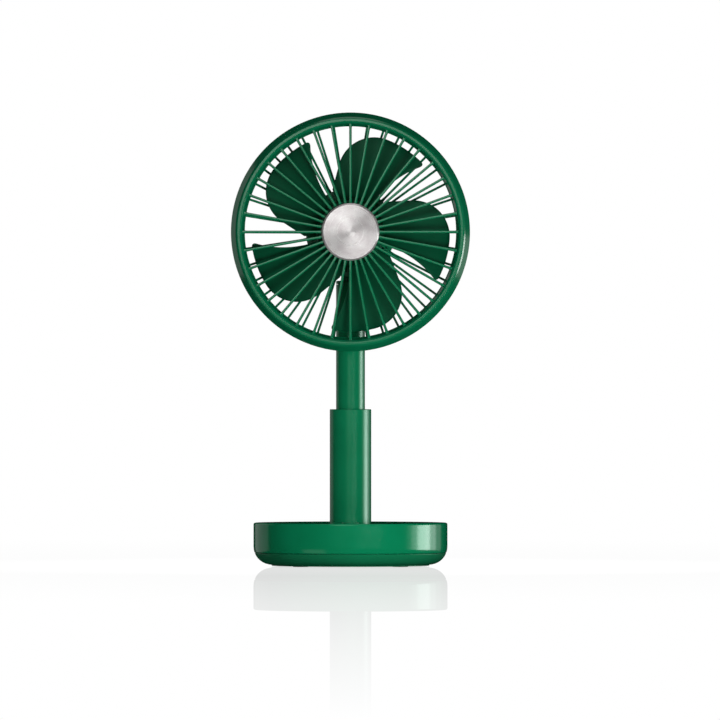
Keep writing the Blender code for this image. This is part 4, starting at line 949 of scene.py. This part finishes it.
def make_bracket():
    name = "tilt_bracket"
    ear_outer = high(name, "x")
    web_front = -low(name, "y")
    web_back = web_front - EAR_THICKNESS
    top = high(name, "z") - HEAD_Z
    form = bmesh.new()
    side = [(-web_front, HINGE_BELOW - EAR_RADIUS)]
    side += arc((-HINGE_DEPTH, HINGE_BELOW), EAR_RADIUS, -90, 90)
    side += [(-web_back, top - 0.0017), (-web_back, top), (-web_front, top)]
    turn = Matrix.Rotation(math.pi / 2, 4, "Y")
    for inner, outer in ((-ear_outer, -ear_outer + EAR_THICKNESS), (ear_outer - EAR_THICKNESS, ear_outer)):
        add_prism(form, side, inner, outer, turn)
    web_corner = (-ear_outer + GAP, HINGE_BELOW - EAR_RADIUS + GAP, web_back)
    add_box(form, web_corner, (ear_outer - GAP, top - GAP, web_front - GAP / 3))
    hole = bmesh.new()
    rim = arc((-HINGE_DEPTH, HINGE_BELOW), PIN_RADIUS + GAP, 0, 360)[:-1]
    add_prism(hole, rim, -ear_outer - WALL, ear_outer + WALL, turn)
    piece_of(name, carved(form, [hole]), STEEL, "head", HEAD, edge_round=0.0003)


# ------------ head


def make_front_grille():
    """The front ring with its raised crest, its straight spokes, and a disc behind the hub cap."""
    shoulder, crest_foot, inner_step = 0.0285, 0.0322, 0.0240
    spigot = HEAD_RADIUS - WALL - 2 * GAP
    ring = filleted(
        [
            (HEAD_RADIUS, RING_SEAM + GAP, 0.0002), (HEAD_RADIUS, inner_step, 0.0012),
            (RING_CREST + 0.0027, crest_foot, 0.0012), (RING_CREST + 0.0013, RING_FRONT, 0.0012),
            (RING_CREST - 0.0013, RING_FRONT, 0.0012), (RING_CREST - 0.0027, crest_foot, 0.0012),
            (RING_OPENING + 0.0010, 0.0262, 0.0014), (RING_OPENING, inner_step, 0.0004),
            (RING_OPENING + WALL, inner_step, 0.0004), (RING_OPENING + WALL, shoulder, 0.0006),
            (RING_CREST, 0.0318, 0.0012), (spigot - WALL, shoulder - 0.001, 0.0008),
            (spigot - WALL, RING_SPIGOT_BACK, 0.0003), (spigot, RING_SPIGOT_BACK, 0.0003),
            (spigot, RING_SEAM + GAP, 0.0),
        ],
        closed=True,
    )
    form = turned_form(ring, RING_STEPS, True)
    half_width, half_thick = FRONT_SPOKE_HALF
    disc_radius = high("hub_cap", "x") - 0.0006
    start, end = disc_radius - 0.0008, RING_OPENING + 0.0030
    stations = []
    for k in range(SPOKE_STATIONS + 1):
        share = 0.5 - 0.5 * math.cos(math.pi * k / SPOKE_STATIONS)
        radius = start + (end - start) * share
        near_end = max(0.0, 1 - min(radius - start, end - radius) / 0.0035)
        flare, thinning = 1 + 0.7 * near_end ** 2, 1 - 0.12 * near_end
        stations.append((radius, FRONT_SPOKE_DEPTH, half_width * flare, half_thick * thinning))
    for number in range(FRONT_SPOKES):
        add_spoke(form, stations, math.tau * number / FRONT_SPOKES)
    seat = -high("hub_cap", "y") - GAP
    back = FRONT_SPOKE_DEPTH - half_thick - GAP
    disc = filleted([(0, seat, 0), (disc_radius, seat, 0.0003), (disc_radius, back, 0.0003), (0, back, 0)])
    add_turned(form, disc, FINE_STEPS)
    piece_of("front_grille", form, GREEN_GLOSS_SHADED, "head", HEAD)


def make_hub_cap():
    """The slightly crowned metal disc in the middle of the grille."""
    radius = high("hub_cap", "x")
    front, back = -low("hub_cap", "y"), -high("hub_cap", "y")
    profile = [((radius - 0.0013) * k / 8, front - 0.00025 * (k / 8) ** 2) for k in range(9)]
    profile += filleted(
        [(radius - 0.0012, front - 0.00035, 0), (radius, front - 0.0013, 0.0003), (radius, back, 0.0002),
         (0, back, 0)]
    )
    piece_of("hub_cap", turned_form(profile, FINE_STEPS), SPUN, "head", HEAD)


def make_rear_grille():
    """The rear ring, its dished spokes and the plate that carries the motor."""
    band = HEAD_RADIUS - WALL
    lip_front = REAR_RIM_BACK + 0.0031
    ring = filleted(
        [
            (HEAD_RADIUS, RING_SEAM, 0.0002), (HEAD_RADIUS, REAR_RIM_BACK, 0.0042),
            (REAR_LIP, REAR_RIM_BACK, 0.0008), (REAR_LIP, lip_front, 0.0006),
            (band - 0.001, lip_front, 0.0012), (band, lip_front + WALL, 0.0008), (band, RING_SEAM, 0.0002),
        ],
        closed=True,
    )
    form = turned_form(ring, RING_STEPS, True)
    start, end = PLATE_RADIUS - 0.0015, REAR_LIP + 0.0009
    back, front = PLATE_DEPTHS
    inner_depth, outer_depth = (back + front) / 2, (REAR_RIM_BACK + lip_front) / 2
    stations = []
    for k in range(SPOKE_STATIONS + 1):
        share = k / SPOKE_STATIONS
        radius = start + (end - start) * share
        near_end = max(0.0, 1 - min(radius - start, end - radius) / 0.004)
        depth = inner_depth + (outer_depth - inner_depth) * share
        stations.append((radius, depth, 0.001 * (1 + 0.6 * near_end ** 2), 0.0012 * (1 - 0.15 * near_end)))
    for number in range(REAR_SPOKES):
        add_spoke(form, stations, math.tau * number / REAR_SPOKES)
    plate = filleted(
        [
            (0, front, 0), (0.030, front, 0.0), (0.0305, front - 0.0004, 0), (0.0325, front - 0.0004, 0),
            (0.0330, front, 0), (PLATE_RADIUS, front, 0.0007), (PLATE_RADIUS, back, 0.0005), (0, back, 0),
        ]
    )
    add_turned(form, plate, FINE_STEPS)
    piece_of("rear_grille", form, GREEN_SATIN, "head", HEAD)


def make_pod():
    """The round cover over the motor, grooved at the back and slotted for the hinge's tongue."""
    name = "pod_cover"
    radius = high(name, "x")
    front, back = -low(name, "y"), -high(name, "y")
    inner, inner_back, groove = radius - POD_WALL, back + POD_WALL, back + 0.0004
    profile = filleted(
        [
            (0, back, 0), (radius * 0.55, back, 0.0), (radius * 0.56, groove, 0),
            (radius * 0.60, groove, 0), (radius * 0.61, back, 0), (radius, back, POD_ROUND),
            (radius, front, 0.0004), (inner, front, 0.0004), (inner, inner_back, POD_ROUND - POD_WALL),
            (0, inner_back, 0),
        ]
    )
    slot_half, slot_bottom = TONGUE_HALF + 0.001, -radius - WALL
    slot_top = HINGE_BELOW + HINGE_BARREL + 0.001
    slot = bmesh.new()
    outline = filleted(
        [(-slot_half, slot_bottom, 0), (slot_half, slot_bottom, 0), (slot_half, slot_top, 0.0012),
         (-slot_half, slot_top, 0.0012)], closed=True,
    )
    add_prism(slot, outline, back - WALL, POD_SLOT_FRONT)
    mesh = carved(turned_form(profile, FINE_STEPS), [slot])
    piece_of(name, mesh, GREEN_SATIN, "head", HEAD, edge_round=0.0004)


def make_motor():
    """The motor's can, its front cap with a snout, and the nut that holds the blades on the shaft."""
    name = "motor_can"
    radius, front, back = high(name, "x"), -low(name, "y"), -high(name, "y")
    seat = back + 0.005
    bore = radius - MOTOR_WALL
    profile = filleted(
        [(radius, front, 0.0002), (radius, back, 0.0018), (SHAFT_BORE, back, 0.0), (SHAFT_BORE, seat, 0),
         (bore, seat, 0.0003), (bore, front, 0.0001)], closed=True,
    )
    piece_of(name, turned_form(profile, STEPS, True), STEEL, "head", HEAD)
    name = "motor_cap"
    snout_front, cap_back = -low(name, "y"), -high(name, "y")
    plate_back = front + GAP
    plate_front = plate_back + MOTOR_PLATE
    seat = plate_back + 0.0043
    profile = filleted(
        [(0.0075, snout_front, 0.0006), (0.0075, plate_front, 0.0008), (radius, plate_front, 0.0006),
         (radius, plate_back, 0.0001), (bore - GAP, plate_back, 0), (bore - GAP, cap_back, 0.0003),
         (0.0053, cap_back, 0.0), (0.0053, seat, 0), (0.0026, seat, 0), (0.0026, snout_front, 0.0003)],
        closed=True,
    )
    piece_of(name, turned_form(profile, STEPS, True), STEEL, "head", HEAD)
    name = "blade_nut"
    mesh = nut_mesh(high(name, "x"), SHAFT_BORE, -high(name, "y"), -low(name, "y"))
    piece_of(name, mesh, STEEL, "rotor", HEAD, edge_round=0.0003)


# ------------ impeller


def lead_angle(radius):
    """Leading edge in degrees: a line parallel to the blade's axis, then a round corner at the tip."""
    reach = BLADE_TIP - BLADE_CORNER
    drop = BLADE_LEAD_OFFSET - BLADE_CORNER
    run = math.sqrt(reach ** 2 - drop ** 2)
    if radius < math.hypot(run, BLADE_LEAD_OFFSET):
        return min(BLADE_LEAD_LIMIT_DEG, math.degrees(math.asin(min(1, BLADE_LEAD_OFFSET / radius))))
    cosine = (radius ** 2 + reach ** 2 - BLADE_CORNER ** 2) / (2 * radius * reach)
    return math.degrees(math.atan2(drop, run) + math.acos(min(1, cosine)))


def trail_angle(radius):
    """Trailing edge in degrees, swept back towards the tip, with a small round corner there."""
    share = max(0, radius - BLADE_TRAIL_START) / (BLADE_TIP - BLADE_TRAIL_START)
    swept = -BLADE_TRAIL_ROOT_DEG - BLADE_TRAIL_SWEEP_DEG * share ** 1.5
    past = radius - (BLADE_TIP - BLADE_TRAIL_CORNER)
    if past <= 0:
        return swept
    back = BLADE_TRAIL_CORNER - math.sqrt(max(0, BLADE_TRAIL_CORNER ** 2 - past ** 2))
    return swept + math.degrees(back / radius)


def add_blade(form, turn):
    """One blade of real thickness: two skins that meet in thin rounded edges."""
    skins = [[], []]
    for i in range(BLADE_STATIONS + 1):
        share = math.sin(math.pi / 2 * i / BLADE_STATIONS)
        radius = BLADE_ROOT + (BLADE_TIP - BLADE_ROOT) * share
        lead, trail = lead_angle(radius), trail_angle(radius)
        depth = BLADE_ROOT_DEPTH + (BLADE_TIP_DEPTH - BLADE_ROOT_DEPTH) * share
        end_round = rounded_off((BLADE_TIP - radius) / BLADE_THICKNESS)
        rows = [[], []]
        for j in range(BLADE_CELLS + 1):
            u = 0.5 - 0.5 * math.cos(math.pi * j / BLADE_CELLS)
            a = math.radians(trail + (lead - trail) * u)
            z = BLADE_FRONT - depth * u - BLADE_CAMBER * math.sin(math.pi * u)
            to_edge = min(u, 1 - u) * math.radians(lead - trail) * radius
            side_round = rounded_off(to_edge / BLADE_SIDE_ROUND)
            half = (BLADE_EDGE + (BLADE_THICKNESS - BLADE_EDGE) * min(side_round, end_round)) / 2
            for row, offset in zip(rows, (half, -half)):
                spot = Vector((radius * math.cos(a), radius * math.sin(a), z + offset))
                row.append(form.verts.new(turn @ spot))
        for skin, row in zip(skins, rows):
            skin.append(row)
    for skin in skins:
        for first, second in zip(skin, skin[1:]):
            for j in range(BLADE_CELLS):
                form.faces.new((first[j], first[j + 1], second[j + 1], second[j]))
    top, bottom = skins
    for k in (0, -1):
        for j in range(BLADE_CELLS):
            form.faces.new((top[k][j], top[k][j + 1], bottom[k][j + 1], bottom[k][j]))
        for i in range(BLADE_STATIONS):
            form.faces.new((top[i][k], top[i + 1][k], bottom[i + 1][k], bottom[i][k]))


def rounded_off(share):
    """How far a rounded edge has risen, as a share, where it is this share of its width in."""
    return math.sqrt(max(0.0, 1 - (1 - min(1.0, share)) ** 2))


def make_impeller():
    """Five blades on a hollow hub with a bored boss."""
    inner, inner_front = HUB_RADIUS - HUB_WALL, HUB_FRONT - HUB_WALL
    hub = filleted(
        [
            (HUB_BOSS, HUB_FRONT + GAP, 0.0001), (HUB_BOSS + 0.0004, HUB_FRONT, 0),
            (HUB_RADIUS, HUB_FRONT, 0.003), (HUB_RADIUS, HUB_BACK, 0.0004), (inner, HUB_BACK, 0.0004),
            (inner, inner_front, 0.001), (HUB_BOSS, inner_front, 0.0005), (HUB_BOSS, HUB_BOSS_BACK, 0.0003),
            (SHAFT_BORE, HUB_BOSS_BACK, 0), (SHAFT_BORE, HUB_FRONT + GAP, 0),
        ],
        closed=True,
    )
    form = turned_form(hub, FINE_STEPS, True)
    for number in range(BLADES):
        angle = math.radians(BLADE_AXIS_DEG + number * 360 / BLADES)
        add_blade(form, Matrix.Rotation(angle, 4, "Z"))
    piece_of("impeller", form, GREEN_BLADE_SHADED, "rotor", HEAD)


# ------------ screws


# The way a screw's head faces: its turn about X, the axis it lies along and the end its head is at.
SCREW_FACINGS = {
    "down": (math.pi, "z", low),
    "forward": (math.pi / 2, "y", low),
    "backward": (-math.pi / 2, "y", high),
}


def screw_mesh(name, head, shank, head_height, length):
    """Pan head with a cross recess, and a threaded shank of shallow rings; the head's top is at zero."""
    corners = [(0, 0, 0), (head * 0.55, 0, 0), (head, -head_height * 0.45, head_height * 0.3)]
    corners += [(head, -head_height, 0.0001), (shank, -head_height, 0)]
    profile = filleted(corners)
    pitch = shank * 0.6
    turns = int((length - head_height) / pitch) - 1
    for k in range(turns):
        top = -head_height - pitch * (k + 0.5)
        profile += [(shank * 0.8, top), (shank, top - pitch * 0.45)]
    profile += [(shank * 0.8, -length + pitch * 0.5), (shank * 0.4, -length), (0, -length)]
    form = turned_form(profile, 24)
    arm, half = head * 0.62, head * 0.13
    depth = head_height * 0.65
    cutters = [box_form((-x, -y, -depth), (x, y, head_height)) for x, y in ((arm, half), (half, arm))]
    mesh = carved(form, cutters)
    mesh.name = name
    return mesh


def make_screws():
    groups = [
        ("base_screw", (1, 2, 3, 4), "base", "down"),
        ("board_screw", ("left", "right"), "base", "down"),
        ("socket_screw", ("left", "right"), "base", "down"),
        ("pod_screw", (1, 2, 3), "head", "forward"),
        ("motor_screw", ("upper", "lower"), "head", "backward"),
    ]
    for kind, ends, body, facing in groups:
        turn, along, head_end = SCREW_FACINGS[facing]
        names = [f"{kind}_{end}" for end in ends]
        first = names[0]
        head = half_size(first, "x")
        shank = 0.001 if head < 0.002 else 0.0015
        mesh = screw_mesh(first + "_kind", head, shank, 0.0013, high(first, along) - low(first, along))
        for name in names:
            spot = [head_end(name, axis) if axis == along else middle(name, axis) for axis in "xyz"]
            place = Matrix.Translation(spot) @ Matrix.Rotation(turn, 4, "X")
            piece_of(name, mesh, STEEL, body, place)


# ------------ CAD nodes that stay


def dress_cad_nodes():
    """Finishes for the CAD nodes that keep their own shape."""
    finishes = {
        STEEL: [
            "counterweight", "battery_clamp_left", "battery_clamp_right", "rear_bearing", "front_bearing",
            "motor_shaft",
        ],
        DARK_STEEL: ["rotor_core"],
        COPPER: ["stator"],
        DARK_PLASTIC: ["button_switch", "column_socket"],
        BOARD: ["control_board", "charge_board"],
        CELL_WRAP: ["battery_cell_left", "battery_cell_right"],
    }
    for material, names in finishes.items():
        for name in names:
            for slot in NODES[name].material_slots:
                slot.link = "OBJECT"
                slot.material = material


bpy.context.scene.view_settings.view_transform = "Standard"
make_camera()
make_world()
make_floor()
make_black_cards()
make_lights()
make_shell()
make_tray()
make_feet()
make_button()
make_lens()
make_socket()
make_column()
make_lead()
make_neck()
make_pin()
make_bracket()
make_front_grille()
make_hub_cap()
make_rear_grille()
make_pod()
make_motor()
make_impeller()
make_screws()
dress_cad_nodes()
